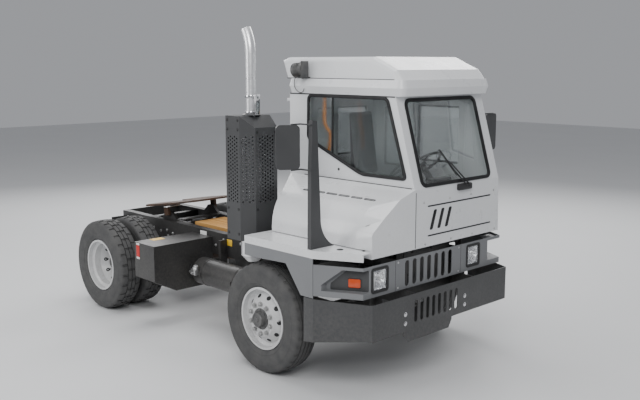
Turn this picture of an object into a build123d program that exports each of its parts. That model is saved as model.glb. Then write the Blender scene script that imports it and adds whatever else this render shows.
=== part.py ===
from build123d import *
import os
from math import cos, hypot, radians, sin

os.makedirs("parts", exist_ok=True)

# Terminal tractor, millimetres.
# X forward, Y left, Z up. The origin is on the ground, midway along and across the vehicle.

# Overall layout, lengthwise
wheelbase = 2946
front_overhang = 1226
rear_overhang = 720
overall_length = front_overhang + wheelbase + rear_overhang
front_axle_x = overall_length / 2 - front_overhang
rear_axle_x = front_axle_x - wheelbase
front_x = overall_length / 2
rear_x = -overall_length / 2

# Small distances used where pieces meet
seat_gap = 0.3
panel_gap = 6
pin_gap = 0.5

# Tyres and rims
tyre_radius = 526
tyre_width = 279
bead_radius = 286
rim_flange_radius = 298
rim_width = 224
drop_radius = 252
rim_wall = 9
track_front = 2135
track_rear = 2157
dual_spacing = 340
disc_offset_front = 118
disc_offset_rear = 160
disc_thickness = 12
hand_hole_radius = 17
hand_hole_circle = 212
hand_holes = 10

# Frame rails
frame_width = 860
rail_height = 254
rail_flange = 89
rail_web = 9
rail_top = 1000
rail_bottom = rail_top - rail_height
rail_nose_drop = 125
rail_nose = 130
end_plate = 12
member_height = 150
member_width = 76

# Front bumper and fascia
bumper_thickness = 8
bumper_bottom = 544
bumper_top = 869
side_half_width = 1210
bumper_crease_y = side_half_width - 218
wing_bend = 727
bumper_wing_end = 610
bumper_tail_drop = 80
bumper_slots = 8
bumper_slot_pitch = 84
bumper_slot_width = 46
bumper_slot_height = 200
apron_y = (-571, 122)
apron_bottom = 441
grille_centre_y = -120
fascia_x = 1130
fascia_crease_y = side_half_width - 205
fascia_thickness = 8
fascia_bottom = 900
fascia_top = 1178
fascia_slots = 7
fascia_slot_pitch = 104
fascia_slot_width = 58
fascia_slot_height = 236
lamp_centre_y = 676
lamp_width = 200
lamp_height = 204
lamp_centre_z = 1046
lamp_depth = 60
pocket_z = (952, 1150)
pocket_slant = ((963, 1140), (796, 1004))
pocket_wall = 8
marker_size = (120, 88, 18)
marker_along = 136
marker_z = 1027

# Decks and fenders beside the cab
deck_top = 1298
deck_lip_bottom = 1228
deck_thickness = 8
deck_rear = -199
deck_front = 1126
deck_front_left = 1040
fender_bottom = 876
arch_front = 571
arch_rear = 377
arch_top = 1130

# Cab, measured from the front axle and the centre line
cab_right = -300
cab_left = side_half_width - 210
cab_rear = -560
cab_front = 1110
cab_bottom = 1240
panel_bottom = 1230
panel_top = 1760
panel_top_x = 1094
header_x = 850
header_z = 2590
band_top = 2735
cab_wall = 40
floor_thickness = 45
roof_top = 2944
roof_rear_reach = 130
roof_front = 935
roof_wall = 30
roof_overhang = 10
roof_round = 45
visor_z = 2662
visor_reach = 22
glass_thickness = 6
glass_gap = 0.3
cover_side = 307 - side_half_width
cover_wall = 12
cover_bottom = deck_top + panel_gap
cover_turn = 940
cover_round = 300
cover_nose_round = 40
cover_skirt_x = 1010
cover_slots = 6
cover_slot_pitch = 160
cover_slot_length = 124
cover_slot_width = 14
cover_slot_first = 25
cover_slot_y = -600
cab_pivot_x = 1040
cab_pivot_z = 1205
cab_pivot_radius = 16
cab_rest_x = -510
windscreen_y = (cab_right + 103, cab_left - 134)
windscreen_z = (1780, 2560)
door_span = (-20, 700)
door_gap = 6
door_hinge_reach = 14
door_hinge_radius = 10
rear_door_y = (cab_left - 670, cab_left - 50)
rear_door_lap = 20
rear_door_clear = 5.3
rear_door_thickness = 30
rear_rail_height = 25
window_round = 60
windscreen_round = 75
panel_groove_y = (cab_right + 178, cab_left - 134)
panel_groove_z = (1600, 1328)
panel_groove_width = 12
panel_groove_depth = 5
panel_slots = 3
panel_slot_first = (-74, 1380)
panel_slot_pitch = 112
panel_slot_lean = 68
panel_slot_height = 180
panel_slot_width = 34
panel_slot_depth = 20

# Exhaust guard and stack
guard_front = -370
guard_rear = -690
guard_outer = -1030
guard_inner = -645
guard_chamfer = 108
guard_bottom = 1170
guard_top = 2385
guard_front_top = 2271
guard_wall = 4
guard_hole_radius = 10
guard_hole_rise = 36
guard_hole_pitch = 32.5
guard_hole_rows = 18
guard_hole_low = 1556
stack_radius = 51
stack_top = 3243
can_radius = 118
can_bottom = 935
can_shoulder = 1000
can_neck_radius = 60

# Fifth wheel and its lift boom
boom_pivot = -1620
boom_pivot_z = 880
boom_arm_y = 296
boom_arm_thickness = 36
boom_pin_radius = 35
plate_pivot = -2760
plate_pivot_z = 1075
plate_pin_radius = 20
plate_rise = 120
plate_tilt = 9
plate_width = 914
plate_front = 470
plate_rear = 420
plate_thickness = 22
throat_width = 260
kingpin_radius = 25.6
cylinder_y = 190
cylinder_base = -2480
cylinder_base_z = 400
cylinder_eye = -2560
cylinder_eye_z = 960
barrel_radius = 48
rod_radius = 28
barrel_length = 470
lift_beam_bottom = cylinder_base_z - 90
lift_beam_half = 30
hanger_thickness = 14

# Front axle and steering
kingpin_y = 870
kingpin_pin_radius = 24
beam_half = 45
tie_rod_x = -190
tie_rod_y = 812
tie_rod_z = tyre_radius - 101
tie_rod_radius = 19


def fa(x):
    """Distance ahead of the front axle, turned into an X position."""
    return front_axle_x + x


def block(x, y, z, mode=Mode.ADD):
    """Box between (low, high) pairs along X, Y and Z."""
    with Locations((sum(x) / 2, sum(y) / 2, sum(z) / 2)):
        Box(abs(x[1] - x[0]), abs(y[1] - y[0]), abs(z[1] - z[0]), mode=mode)


def side_plate(points, y_low, y_high, mode=Mode.ADD):
    """Outline in X and Z, as thick as the distance between two Y values."""
    with BuildSketch(Plane.XZ.offset(-y_high)) as outline:
        with BuildLine():
            Polyline(*points, close=True)
        make_face()
    extrude(outline.sketch, amount=y_high - y_low, mode=mode)


def rounded_side_plate(points, radius, y_low, y_high, mode=Mode.ADD):
    """Outline in X and Z with rounded corners, as thick as the distance between two Y values."""
    with BuildSketch(Plane.XZ.offset(-y_high)) as outline:
        with BuildLine():
            FilletPolyline(*points, radius=radius, close=True)
        make_face()
    extrude(outline.sketch, amount=y_high - y_low, mode=mode)


def cross_plate(points, x_low, x_high, mode=Mode.ADD):
    """Outline in Y and Z, as thick as the distance between two X values."""
    with BuildSketch(Plane.YZ.offset(x_low)) as outline:
        with BuildLine():
            Polyline(*points, close=True)
        make_face()
    extrude(outline.sketch, amount=x_high - x_low, mode=mode)


def flat_plate(points, z_low, z_high, mode=Mode.ADD):
    """Outline in X and Y, as thick as the distance between two Z values."""
    with BuildSketch(Plane.XY.offset(z_low)) as outline:
        with BuildLine():
            Polyline(*points, close=True)
        make_face()
    extrude(outline.sketch, amount=z_high - z_low, mode=mode)


def cross_tube(x, z, radius, y_low, y_high, mode=Mode.ADD):
    """Round bar along Y."""
    with BuildSketch(Plane.XZ.offset(-y_high)) as outline:
        with Locations((x, z)):
            Circle(radius)
    extrude(outline.sketch, amount=y_high - y_low, mode=mode)


def sideways(points, gap):
    """Open line of straight runs, moved to its left by a gap."""
    runs = [(b[0] - a[0], b[1] - a[1]) for a, b in zip(points, points[1:])]
    normals = [(-dy / hypot(dx, dy), dx / hypot(dx, dy)) for dx, dy in runs]
    pairs = list(zip(normals[:1] + normals, normals + normals[-1:]))
    moved = []
    for (u, v), (a, b) in zip(points, pairs):
        share = gap / (1 + a[0] * b[0] + a[1] * b[1])
        moved.append((u + share * (a[0] + b[0]), v + share * (a[1] + b[1])))
    return moved


def upright(x, y, radius, z_low, z_high, mode=Mode.ADD):
    """Round bar along Z."""
    with BuildSketch(Plane.XY.offset(z_low)) as outline:
        with Locations((x, y)):
            Circle(radius)
    extrude(outline.sketch, amount=z_high - z_low, mode=mode)


def wheel_solid(points, x, y, side, mode=Mode.ADD):
    """Turned shape about the wheel's axle. Each point is (outward offset, radius)."""
    plane = Plane(origin=(x, y, tyre_radius), x_dir=(0, side, 0), z_dir=(side, 0, 0))
    with BuildSketch(plane) as outline:
        with BuildLine():
            Polyline(*points, close=True)
        make_face()
    revolve(outline.sketch, axis=Axis((x, y, tyre_radius), (0, 1, 0)), revolution_arc=360, mode=mode)


def tyre_section(shift):
    """Half of the tyre's section is mirrored, from bead to tread."""
    half = tyre_width / 2
    bead = rim_width / 2 - 14 - seat_gap
    low = bead_radius + seat_gap
    right = [(bead, low), (bead, rim_flange_radius + 1), (half - 10, low + 46),
             (half, tyre_radius - 116), (half - 8, tyre_radius - 44), (half - 28, tyre_radius - 10)]
    return [(w + shift, r) for w, r in right + [(0, tyre_radius)] + [(-w, r) for w, r in reversed(right)]]


# Wheels: one table, name / X / side / dual
wheels = (
    ("front_right", front_axle_x, -1, False),
    ("front_left", front_axle_x, 1, False),
    ("rear_right", rear_axle_x, -1, True),
    ("rear_left", rear_axle_x, 1, True),
)
front_wheel_y = track_front / 2
rear_wheel_y = track_rear / 2
axle_end_y = rear_wheel_y - dual_spacing - tyre_width / 2 - 24
drum_inner_y = front_wheel_y - rim_width / 2

for name, x, side, dual in wheels:
    y = side * (rear_wheel_y if dual else front_wheel_y)
    with BuildPart() as tyre:
        wheel_solid(tyre_section(0), x, y, side)
        if dual:
            wheel_solid(tyre_section(-dual_spacing), x, y, side)
    tyre.part.label = "tyre_" + name
    export_step(tyre.part, "parts/tyre_" + name + ".step")

    half = rim_width / 2
    seat = bead_radius
    with BuildPart() as rim:
        barrel = [
            (half, rim_flange_radius), (half - 12, rim_flange_radius), (half - 14, seat),
            (half - 50, seat - 4), (half - 66, drop_radius), (66 - half, drop_radius),
            (50 - half, seat - 4), (14 - half, seat), (12 - half, rim_flange_radius),
            (-half, rim_flange_radius), (-half, seat - rim_wall), (48 - half, seat - 4 - rim_wall),
            (64 - half, drop_radius - rim_wall), (half - 64, drop_radius - rim_wall),
            (half - 48, seat - 4 - rim_wall), (half, seat - rim_wall),
        ]
        wheel_solid(barrel, x, y, side)
        if dual:
            face = -disc_offset_rear
            root = 66 - half + 20
            dish = [
                (root, drop_radius - rim_wall + 1), (root - 24, drop_radius - rim_wall + 1),
                (face - disc_thickness, 165), (face - disc_thickness, 60), (face, 60), (face, 170),
            ]
            wheel_solid(dish, x, y, side)
            inner = [(w - dual_spacing, r) for w, r in barrel]
            wheel_solid(inner, x, y, side)
            back = face - disc_thickness
            inner_dish = [
                (-dual_spacing + half - 86, drop_radius - rim_wall + 1),
                (-dual_spacing + half - 62, drop_radius - rim_wall + 1),
                (back, 170), (back, 60), (back - disc_thickness, 60), (back - disc_thickness, 165),
            ]
            wheel_solid(inner_dish, x, y, side)
            hub = [
                (-50, 0), (-50, 52), (-64, 70), (-100, 74), (-104, 118), (face, 120), (face, 176),
                (back - disc_thickness - 16, 176), (back - disc_thickness - 16, 208),
                (-dual_spacing - rim_width / 2 - 8, 208), (-dual_spacing - rim_width / 2 - 8, 90),
                (axle_end_y + seat_gap - rear_wheel_y, 90), (axle_end_y + seat_gap - rear_wheel_y, 0),
            ]
            wheel_solid(hub, x, y, side)
            hole_low = face - 60
            hole_high = face + 70
        else:
            face = disc_offset_front
            root = half - 66 - 20
            dish = [
                (root, drop_radius - rim_wall + 1), (root + 22, drop_radius - rim_wall + 1),
                (face, 168), (face, 60), (face - disc_thickness, 60), (face - disc_thickness, 160),
            ]
            wheel_solid(dish, x, y, side)
            hub = [
                (face + 46, 0), (face + 46, 44), (face + 34, 58), (face, 66), (face, 100),
                (face - disc_thickness, 100), (face - disc_thickness - 14, 150),
                (face - 40, 204), (-half + 14, 204), (-half + 14, 60), (-half + 14, 0),
            ]
            wheel_solid(hub, x, y, side)
            hole_low = root - 12
            hole_high = face + 4
        hole_plane = Plane(origin=(x, y + side * hole_low, tyre_radius), x_dir=(1, 0, 0), z_dir=(0, side, 0))
        with BuildSketch(hole_plane):
            with PolarLocations(hand_hole_circle, hand_holes):
                Circle(hand_hole_radius)
        extrude(amount=hole_high - hole_low, mode=Mode.SUBTRACT)
    rim.part.label = "rim_" + name
    export_step(rim.part, "parts/rim_" + name + ".step")

# Frame rails: C channels with a lower nose that carries the bumper
half_frame = frame_width / 2
web_inner = half_frame - rail_web
rail_front = front_x - bumper_thickness
rail_end = rear_x + end_plate
for name, side in (("right", -1), ("left", 1)):
    with BuildPart() as rail:
        outer = side * half_frame
        inner = side * (half_frame - rail_flange)
        block((rail_end, rail_front), sorted((inner, outer)), (rail_bottom, rail_top))
        web = side * web_inner
        hollow = sorted((inner - side, web))
        block((rail_end - 1, rail_front + 1), hollow, (rail_bottom + rail_web, rail_top - rail_web),
              Mode.SUBTRACT)
        nose = (rail_front - rail_nose, rail_front + 1)
        block(nose, (outer - rail_flange - 1, outer + rail_flange + 1),
              (rail_top - rail_nose_drop, rail_top + 1),
              Mode.SUBTRACT)
    rail.part.label = "rail_" + name
    export_step(rail.part, "parts/rail_" + name + ".step")

# Cross members between the rail webs, and the hangers of the low beam
member_top = rail_top - 45
with BuildPart() as crossmembers:
    for x in (fa(-1010), fa(-1330), fa(-3240)):
        block((x - member_width / 2, x + member_width / 2), (-web_inner, web_inner),
              (member_top - member_height, member_top))
    block((fa(900), fa(976)), (-web_inner, web_inner), (rail_bottom + rail_web, rail_bottom + 90))
    block((rear_x, rear_x + end_plate), (-half_frame, half_frame), (rail_bottom - 60, rail_top))
    for side in (-1, 1):
        hanger = sorted((side * (web_inner - hanger_thickness), side * web_inner))
        block((fa(cylinder_base) - 60, fa(cylinder_base) + 60), hanger, (lift_beam_bottom, rail_bottom))
crossmembers.part.label = "crossmembers"
export_step(crossmembers.part, "parts/crossmembers.step")

# Low beam between the hangers, with the ears and pins of the lift cylinders
with BuildPart() as lift_beam:
    x = (fa(cylinder_base) - lift_beam_half, fa(cylinder_base) + lift_beam_half)
    reach = web_inner - hanger_thickness - seat_gap
    block(x, (-reach, reach), (lift_beam_bottom, cylinder_base_z - barrel_radius - 6))
    for side in (-1, 1):
        for shift in (-26, 26):
            ear = side * cylinder_y + shift
            block(x, (ear - 6, ear + 6), (lift_beam_bottom, cylinder_base_z + lift_beam_half))
        cross_tube(fa(cylinder_base), cylinder_base_z, 16, side * cylinder_y - 32, side * cylinder_y + 32)
lift_beam.part.label = "lift_beam"
export_step(lift_beam.part, "parts/lift_beam.step")

# Front bumper: bent plate with a slotted centre
with BuildPart() as bumper:
    with BuildSketch(Plane.XY.offset(bumper_bottom - bumper_tail_drop)):
        with BuildLine():
            Polyline(
                (front_x, -bumper_crease_y), (front_x, bumper_crease_y), (fa(wing_bend), side_half_width),
                (fa(bumper_wing_end) - 20, side_half_width), (fa(bumper_wing_end) - 20, -side_half_width),
                (fa(wing_bend), -side_half_width), close=True,
            )
        make_face()
        offset(amount=-bumper_thickness, mode=Mode.SUBTRACT)
        with Locations((fa(bumper_wing_end) - 30, 0)):
            Rectangle(60, 2 * side_half_width + 10, mode=Mode.SUBTRACT)
    extrude(amount=bumper_top - bumper_bottom + bumper_tail_drop)
    side_plate(
        ((fa(bumper_wing_end) - 1, bumper_bottom - bumper_tail_drop - 1),
            (front_x + 1, bumper_bottom - bumper_tail_drop - 1),
         (front_x + 1, bumper_bottom), (front_x - 60, bumper_bottom),
         (fa(bumper_wing_end) - 1, bumper_bottom - bumper_tail_drop)),
        -side_half_width - 1, side_half_width + 1, Mode.SUBTRACT)
    slot_z = (bumper_bottom + bumper_top) / 2
    with BuildSketch(Plane.YZ.offset(front_x - bumper_thickness - 1)):
        with Locations((grille_centre_y, slot_z)):
            with GridLocations(bumper_slot_pitch, 1, bumper_slots, 1):
                SlotOverall(bumper_slot_height, bumper_slot_width, rotation=90)
    extrude(amount=bumper_thickness + 2, mode=Mode.SUBTRACT)
    apron = [
        (apron_y[0], bumper_bottom + 40), (apron_y[0], bumper_bottom - 40), (apron_y[0] + 70, apron_bottom),
        (apron_y[1] - 44, apron_bottom), (apron_y[1], bumper_bottom - 30), (apron_y[1], bumper_bottom + 40),
    ]
    cross_plate(apron, front_x - bumper_thickness - 10, front_x - bumper_thickness)
bumper.part.label = "bumper"
export_step(bumper.part, "parts/bumper.step")

# Grey fascia between bumper and cab, with a pocket beyond each head lamp that wraps round the corner
fascia_plan = [
    (fa(fascia_x), -fascia_crease_y), (fa(fascia_x), fascia_crease_y), (fa(wing_bend) + 4, side_half_width),
    (fa(wing_bend) - 20, side_half_width), (fa(wing_bend) - 20, -side_half_width),
    (fa(wing_bend) + 4, -side_half_width),
]
# Pockets: side / Y where the pocket starts on the front / X and Y of its floor's far end
pockets = (
    (-1, 88 - fascia_crease_y, (796, -side_half_width + 102)),
    (1, fascia_crease_y - 208, (780, side_half_width - 235)),
)


def pocket_form(side, start, end, wall):
    """Room of a lamp pocket, or with a wall's thickness the body round it."""
    reach = side * (side_half_width + 40)
    with BuildSketch(Plane.XZ.offset(-side_half_width - 40)) as elevation:
        with BuildLine():
            Polyline(
                (fa(fascia_x) + 40, pocket_z[0]), (fa(fascia_x) + 40, pocket_z[1]),
                (fa(pocket_slant[0][0]), pocket_z[1]),
                (fa(end[0]), pocket_slant[1][1]), (fa(end[0]), pocket_z[0]), close=True,
            )
        make_face()
        offset(amount=wall, kind=Kind.INTERSECTION)
    extrude(elevation.sketch, amount=2 * side_half_width + 80)
    with BuildSketch(Plane.XY.offset(fascia_bottom)) as plan:
        with BuildLine():
            Polyline(
                (fa(fascia_x) + 40, start - side * 20), (fa(fascia_x) + 40, reach), (fa(end[0]), reach),
                (fa(end[0]), end[1]), (fa(fascia_x), start), close=True,
            )
        make_face()
        offset(amount=wall, kind=Kind.INTERSECTION)
    extrude(plan.sketch, amount=fascia_top - fascia_bottom, mode=Mode.INTERSECT)


pocket_rooms = []
pocket_bodies = []
for side, start, end in pockets:
    with BuildPart() as room:
        pocket_form(side, start, end, 0)
    pocket_rooms.append(room.part)
    with BuildPart() as body:
        pocket_form(side, start, end, pocket_wall)
        with BuildSketch(Plane.XY.offset(fascia_bottom)):
            with BuildLine():
                Polyline(*fascia_plan, close=True)
            make_face()
        extrude(amount=fascia_top - fascia_bottom, mode=Mode.INTERSECT)
    pocket_bodies.append(body.part)

with BuildPart() as fascia:
    with BuildSketch(Plane.XY.offset(fascia_bottom)):
        with BuildLine():
            Polyline(*fascia_plan, close=True)
        make_face()
        offset(amount=-fascia_thickness, mode=Mode.SUBTRACT)
        with Locations((fa(wing_bend) - 26, 0)):
            Rectangle(60, 2 * side_half_width + 10, mode=Mode.SUBTRACT)
    extrude(amount=fascia_top - fascia_bottom)
    for body, room in zip(pocket_bodies, pocket_rooms):
        add(body)
        add(room, mode=Mode.SUBTRACT)
    slot_z = (fascia_bottom + fascia_top) / 2
    with BuildSketch(Plane.YZ.offset(fa(fascia_x) - fascia_thickness - 1)):
        with Locations((grille_centre_y, slot_z)):
            with GridLocations(fascia_slot_pitch, 1, fascia_slots, 1):
                SlotOverall(fascia_slot_height, fascia_slot_width, rotation=90)
        for side in (-1, 1):
            with Locations((grille_centre_y + side * lamp_centre_y, lamp_centre_z)):
                RectangleRounded(lamp_width + 2 * seat_gap, lamp_height + 2 * seat_gap, 20)
    extrude(amount=fascia_thickness + 2, mode=Mode.SUBTRACT)
fascia.part.label = "fascia"
export_step(fascia.part, "parts/fascia.step")

# Brackets from the rails to bumper and fascia, behind the front
with BuildPart() as front_brackets:
    for side in (-1, 1):
        y = sorted((side * half_frame, side * (half_frame + 10)))
        back = fa(fascia_x) - fascia_thickness
        block((fa(820), back), y, (rail_bottom, fascia_top - 40))
        block((fa(820), rail_front), y, (rail_bottom, rail_top - rail_nose_drop))
        block((fa(cab_pivot_x) - 34, fa(cab_pivot_x) + 34), y, (fascia_top - 40, cab_pivot_z))
        cross_tube(fa(cab_pivot_x), cab_pivot_z, 34, *y)
        cross_tube(fa(cab_pivot_x), cab_pivot_z, cab_pivot_radius + pin_gap, y[0] - 1, y[1] + 1,
                   Mode.SUBTRACT)
front_brackets.part.label = "front_brackets"
export_step(front_brackets.part, "parts/front_brackets.step")

# Head lamps in dark housings, and a marker lamp on the floor of each pocket
with BuildPart() as front_lamps:
    for side in (-1, 1):
        y = grille_centre_y + side * lamp_centre_y
        with BuildSketch(Plane.YZ.offset(fa(fascia_x) - lamp_depth)):
            with Locations((y, lamp_centre_z)):
                RectangleRounded(lamp_width, lamp_height, 20)
        extrude(amount=lamp_depth)
    for side, start, end in pockets:
        run = (end[0] - fascia_x, end[1] - start)
        share = marker_along / hypot(*run)
        middle = (fa(fascia_x + share * run[0]), start + share * run[1], marker_z)
        floor = Plane(origin=middle, x_dir=(*run, 0), z_dir=(-side * run[1], side * run[0], 0))
        with BuildSketch(floor.offset(-seat_gap)):
            RectangleRounded(marker_size[0], marker_size[1], 10)
        extrude(amount=-marker_size[2])
front_lamps.part.label = "front_lamps"
export_step(front_lamps.part, "parts/front_lamps.step")

# Radiator behind the slots, held between the rails
with BuildPart() as radiator:
    core_half = half_frame - rail_flange - panel_gap
    block((fa(930), fa(1010)), (-core_half, core_half), (rail_bottom + 100, cab_bottom - 60))
    for side in (-1, 1):
        block((fa(940), fa(1000)), sorted((side * core_half, side * web_inner)),
              (rail_bottom + 100, rail_top - rail_web))
radiator.part.label = "radiator"
export_step(radiator.part, "parts/radiator.step")

# Engine as one plain block on four feet
with BuildPart() as engine:
    block((fa(-220), fa(740)), (-320, 320), (610, 1170))
    for x in (fa(-100), fa(620)):
        for side in (-1, 1):
            block((x - 50, x + 50), sorted((side * 320, side * web_inner)), (850, 930))
engine.part.label = "engine"
export_step(engine.part, "parts/engine.step")

# Gearbox and propeller shaft
pinion_front = rear_axle_x + 430
pinion_z = tyre_radius + 20
gearbox_rear = fa(-900)
gearbox_z = 760
with BuildPart() as driveline:
    with BuildSketch(Plane.YZ.offset(fa(-220))):
        with Locations((0, gearbox_z + 40)):
            Circle(210)
    with BuildSketch(Plane.YZ.offset(fa(-420))):
        with Locations((0, gearbox_z + 10)):
            Circle(170)
    loft()
    with BuildSketch(Plane.YZ.offset(fa(-420))):
        with Locations((0, gearbox_z + 10)):
            Circle(170)
    with BuildSketch(Plane.YZ.offset(gearbox_rear)):
        with Locations((0, gearbox_z)):
            Circle(90)
    loft()
    run = pinion_front - seat_gap - gearbox_rear
    fall = pinion_z - gearbox_z
    shaft = Plane(origin=(gearbox_rear, 0, gearbox_z), x_dir=(0, 1, 0), z_dir=(run, 0, fall))
    with BuildSketch(shaft):
        Circle(48)
    extrude(amount=hypot(run, fall) - 10)
driveline.part.label = "driveline"
export_step(driveline.part, "parts/driveline.step")

# Rear axle: tube, round centre housing, pinion nose and the blocks under the rails
with BuildPart() as rear_axle:
    cross_tube(rear_axle_x, tyre_radius, 72, -axle_end_y, axle_end_y)
    cross_tube(rear_axle_x, tyre_radius, 205, -110, 110)
    with BuildSketch(Plane.YZ.offset(rear_axle_x + 150)):
        with Locations((0, tyre_radius + 10)):
            Circle(130)
    with BuildSketch(Plane.YZ.offset(pinion_front)):
        with Locations((0, pinion_z)):
            Circle(75)
    loft()
    for side in (-1, 1):
        y = sorted((side * (half_frame - rail_flange), side * half_frame))
        block((rear_axle_x - 90, rear_axle_x + 90), y, (tyre_radius - 90, rail_bottom))
rear_axle.part.label = "rear_axle"
export_step(rear_axle.part, "parts/rear_axle.step")

# Front axle beam with dropped centre and kingpin eyes
beam_low = tyre_radius - 146
beam_top = tyre_radius - 46
eye_low = tyre_radius - 46
eye_high = tyre_radius + 46
with BuildPart() as front_axle:
    outline = [
        (-kingpin_y, eye_low), (-kingpin_y + 130, eye_low), (-630, beam_low), (630, beam_low),
        (kingpin_y - 130, eye_low),
        (kingpin_y, eye_low), (kingpin_y, eye_high), (kingpin_y - 90, eye_high), (620, beam_top),
        (-620, beam_top),
        (-kingpin_y + 90, eye_high), (-kingpin_y, eye_high),
    ]
    cross_plate(outline, front_axle_x - beam_half, front_axle_x + beam_half)
    for side in (-1, 1):
        upright(front_axle_x, side * kingpin_y, beam_half, eye_low, eye_high)
        upright(front_axle_x, side * kingpin_y, kingpin_pin_radius + pin_gap, eye_low - 1, eye_high + 1,
                Mode.SUBTRACT)
front_axle.part.label = "front_axle"
export_step(front_axle.part, "parts/front_axle.step")

# Leaf springs with their hangers under the rails
spring_half = 38
with BuildPart() as leaf_springs:
    for side in (-1, 1):
        y_low = side * (half_frame - 45) - spring_half
        y_high = y_low + 2 * spring_half
        leaf = [
            (fa(-640), rail_bottom - 106), (fa(-330), beam_top + 65), (fa(-80), beam_top), (fa(80), beam_top),
            (fa(330), beam_top + 65), (fa(640), rail_bottom - 106), (fa(640), rail_bottom - 78),
            (fa(330), beam_top + 110), (fa(80), beam_top + 68), (fa(-80), beam_top + 68),
            (fa(-330), beam_top + 110), (fa(-640), rail_bottom - 78),
        ]
        side_plate(leaf, y_low, y_high)
        for x in (fa(-640), fa(640)):
            block((x - 35, x + 35), (y_low, y_high), (rail_bottom - 126, rail_bottom))
leaf_springs.part.label = "leaf_springs"
export_step(leaf_springs.part, "parts/leaf_springs.step")

# Steering knuckles: yoke, pin, spindle and arm
arm_gap = 3
for name, side in (("right", -1), ("left", 1)):
    with BuildPart() as knuckle:
        y = side * kingpin_y
        upright(front_axle_x, y, kingpin_pin_radius, eye_low - 40, eye_high + 40)
        for z in ((eye_low - 43, eye_low - arm_gap), (eye_high + arm_gap, eye_high + 43)):
            upright(front_axle_x, y, beam_half, *z)
            block((front_axle_x - beam_half, front_axle_x + beam_half), sorted((y, y + side * 62)), z)
        block((front_axle_x - beam_half, front_axle_x + beam_half), sorted((y + side * 50, y + side * 70)),
              (eye_low - 43, eye_high + 43))
        hub_back = side * (drum_inner_y + 14 - seat_gap)
        cross_tube(front_axle_x, tyre_radius, 50, *sorted((y + side * 60, hub_back)))
        arm = [(fa(0), y + side * 20), (fa(0), y - side * 40), (fa(tie_rod_x), side * (tie_rod_y - 24)),
               (fa(tie_rod_x) - 26, side * tie_rod_y), (fa(tie_rod_x), side * (tie_rod_y + 24))]
        flat_plate(arm, eye_low - 43, eye_low - 21)
    knuckle.part.label = "knuckle_" + name
    export_step(knuckle.part, "parts/knuckle_" + name + ".step")

# Tie rod behind the axle, under the knuckle arms
with BuildPart() as tie_rod:
    cross_tube(fa(tie_rod_x), tie_rod_z - 20, tie_rod_radius, -tie_rod_y, tie_rod_y)
    for side in (-1, 1):
        upright(fa(tie_rod_x), side * tie_rod_y, 24, tie_rod_z - 42, eye_low - 43 - seat_gap)
tie_rod.part.label = "tie_rod"
export_step(tie_rod.part, "parts/tie_rod.step")

# Decks: a folded top with a lip, on brackets from the rails
for name, side in (("right", -1), ("left", 1)):
    with BuildPart() as deck:
        inner = side * (half_frame + 20) if side < 0 else cab_left + panel_gap
        y = sorted((inner, side * side_half_width))
        ahead = deck_front if side < 0 else deck_front_left
        block((fa(deck_rear), fa(ahead)), y, (deck_top - deck_thickness, deck_top))
        lip = sorted((side * (side_half_width - deck_thickness), side * side_half_width))
        block((fa(deck_rear), fa(ahead)), lip, (deck_lip_bottom, deck_top))
        corner = [
            (fa(deck_front) + 1, side * fascia_crease_y), (fa(wing_bend), side * side_half_width),
            (fa(wing_bend), side * (side_half_width + 1)), (fa(deck_front) + 1, side * (side_half_width + 1)),
        ]
        flat_plate(corner, deck_lip_bottom - 1, deck_top + 1, Mode.SUBTRACT)
        if side < 0:
            block((fa(1000), fa(deck_front) + 1), (cover_side + panel_gap - 20, 0),
                  (deck_lip_bottom, deck_top + 1),
                  Mode.SUBTRACT)
        slant = (side_half_width - fascia_crease_y) / (deck_front - wing_bend)
        front_y = fascia_crease_y + slant * (deck_front - ahead)
        wing = [
            (fa(ahead), side * front_y), (fa(wing_bend), side * side_half_width),
            (fa(wing_bend), side * (side_half_width - deck_thickness)),
            (fa(ahead), side * (front_y - deck_thickness)),
        ]
        flat_plate(wing, deck_lip_bottom, deck_top)
        for x in (fa(-150), fa(tyre_radius + 74)):
            block((x - 5, x + 5), sorted((side * half_frame, side * (half_frame + 60))),
                  (rail_bottom + 60, deck_lip_bottom - 30))
            block((x - 5, x + 5), sorted((side * half_frame, side * (side_half_width - 10))),
                  (1130, deck_lip_bottom - 30))
            block((x - 5, x + 5), sorted((side * max(abs(inner), 500), side * (side_half_width - 10))),
                  (deck_lip_bottom - 31, deck_top - 1))
    deck.part.label = "deck_" + name
    export_step(deck.part, "parts/deck_" + name + ".step")

# Fender sides under the deck lip, with the front part of the wheel arch
for name, side in (("right", -1), ("left", 1)):
    with BuildPart() as fender:
        top = deck_lip_bottom
        outline = [
            (fa(-38), 1113), (fa(arch_rear), arch_top), (fa(arch_front), fender_bottom),
            (fa(wing_bend) - 2, fender_bottom),
            (fa(wing_bend) - 2, top), (fa(deck_rear), top), (fa(deck_rear), 1113),
        ]
        side_plate(outline, *sorted((side * (side_half_width - 6), side * side_half_width)))
    fender.part.label = "fender_" + name
    export_step(fender.part, "parts/fender_" + name + ".step")

# Arch on the rails under the rear of the cab
cab_rest_half = 30
with BuildPart() as cab_rest:
    x = (fa(cab_rest_x) - cab_rest_half, fa(cab_rest_x) + cab_rest_half)
    block(x, (-half_frame, half_frame), (cab_bottom - 60, cab_bottom - seat_gap))
    for side in (-1, 1):
        block(x, sorted((side * (half_frame - rail_flange), side * half_frame)), (rail_top, cab_bottom - 60))
cab_rest.part.label = "cab_rest"
export_step(cab_rest.part, "parts/cab_rest.step")

# Cab shell: heights share the front's outer faces

def panel_x(z):
    """X of the lower front panel's outer face at a height."""
    share = (z - panel_bottom) / (panel_top - panel_bottom)
    return fa(cab_front + (panel_top_x - cab_front) * share)


def front_edge_x(z):
    """X of the windscreen's outer face at a height."""
    share = (z - panel_top) / (header_z - panel_top)
    return fa(panel_top_x + (header_x - panel_top_x) * share)


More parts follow.
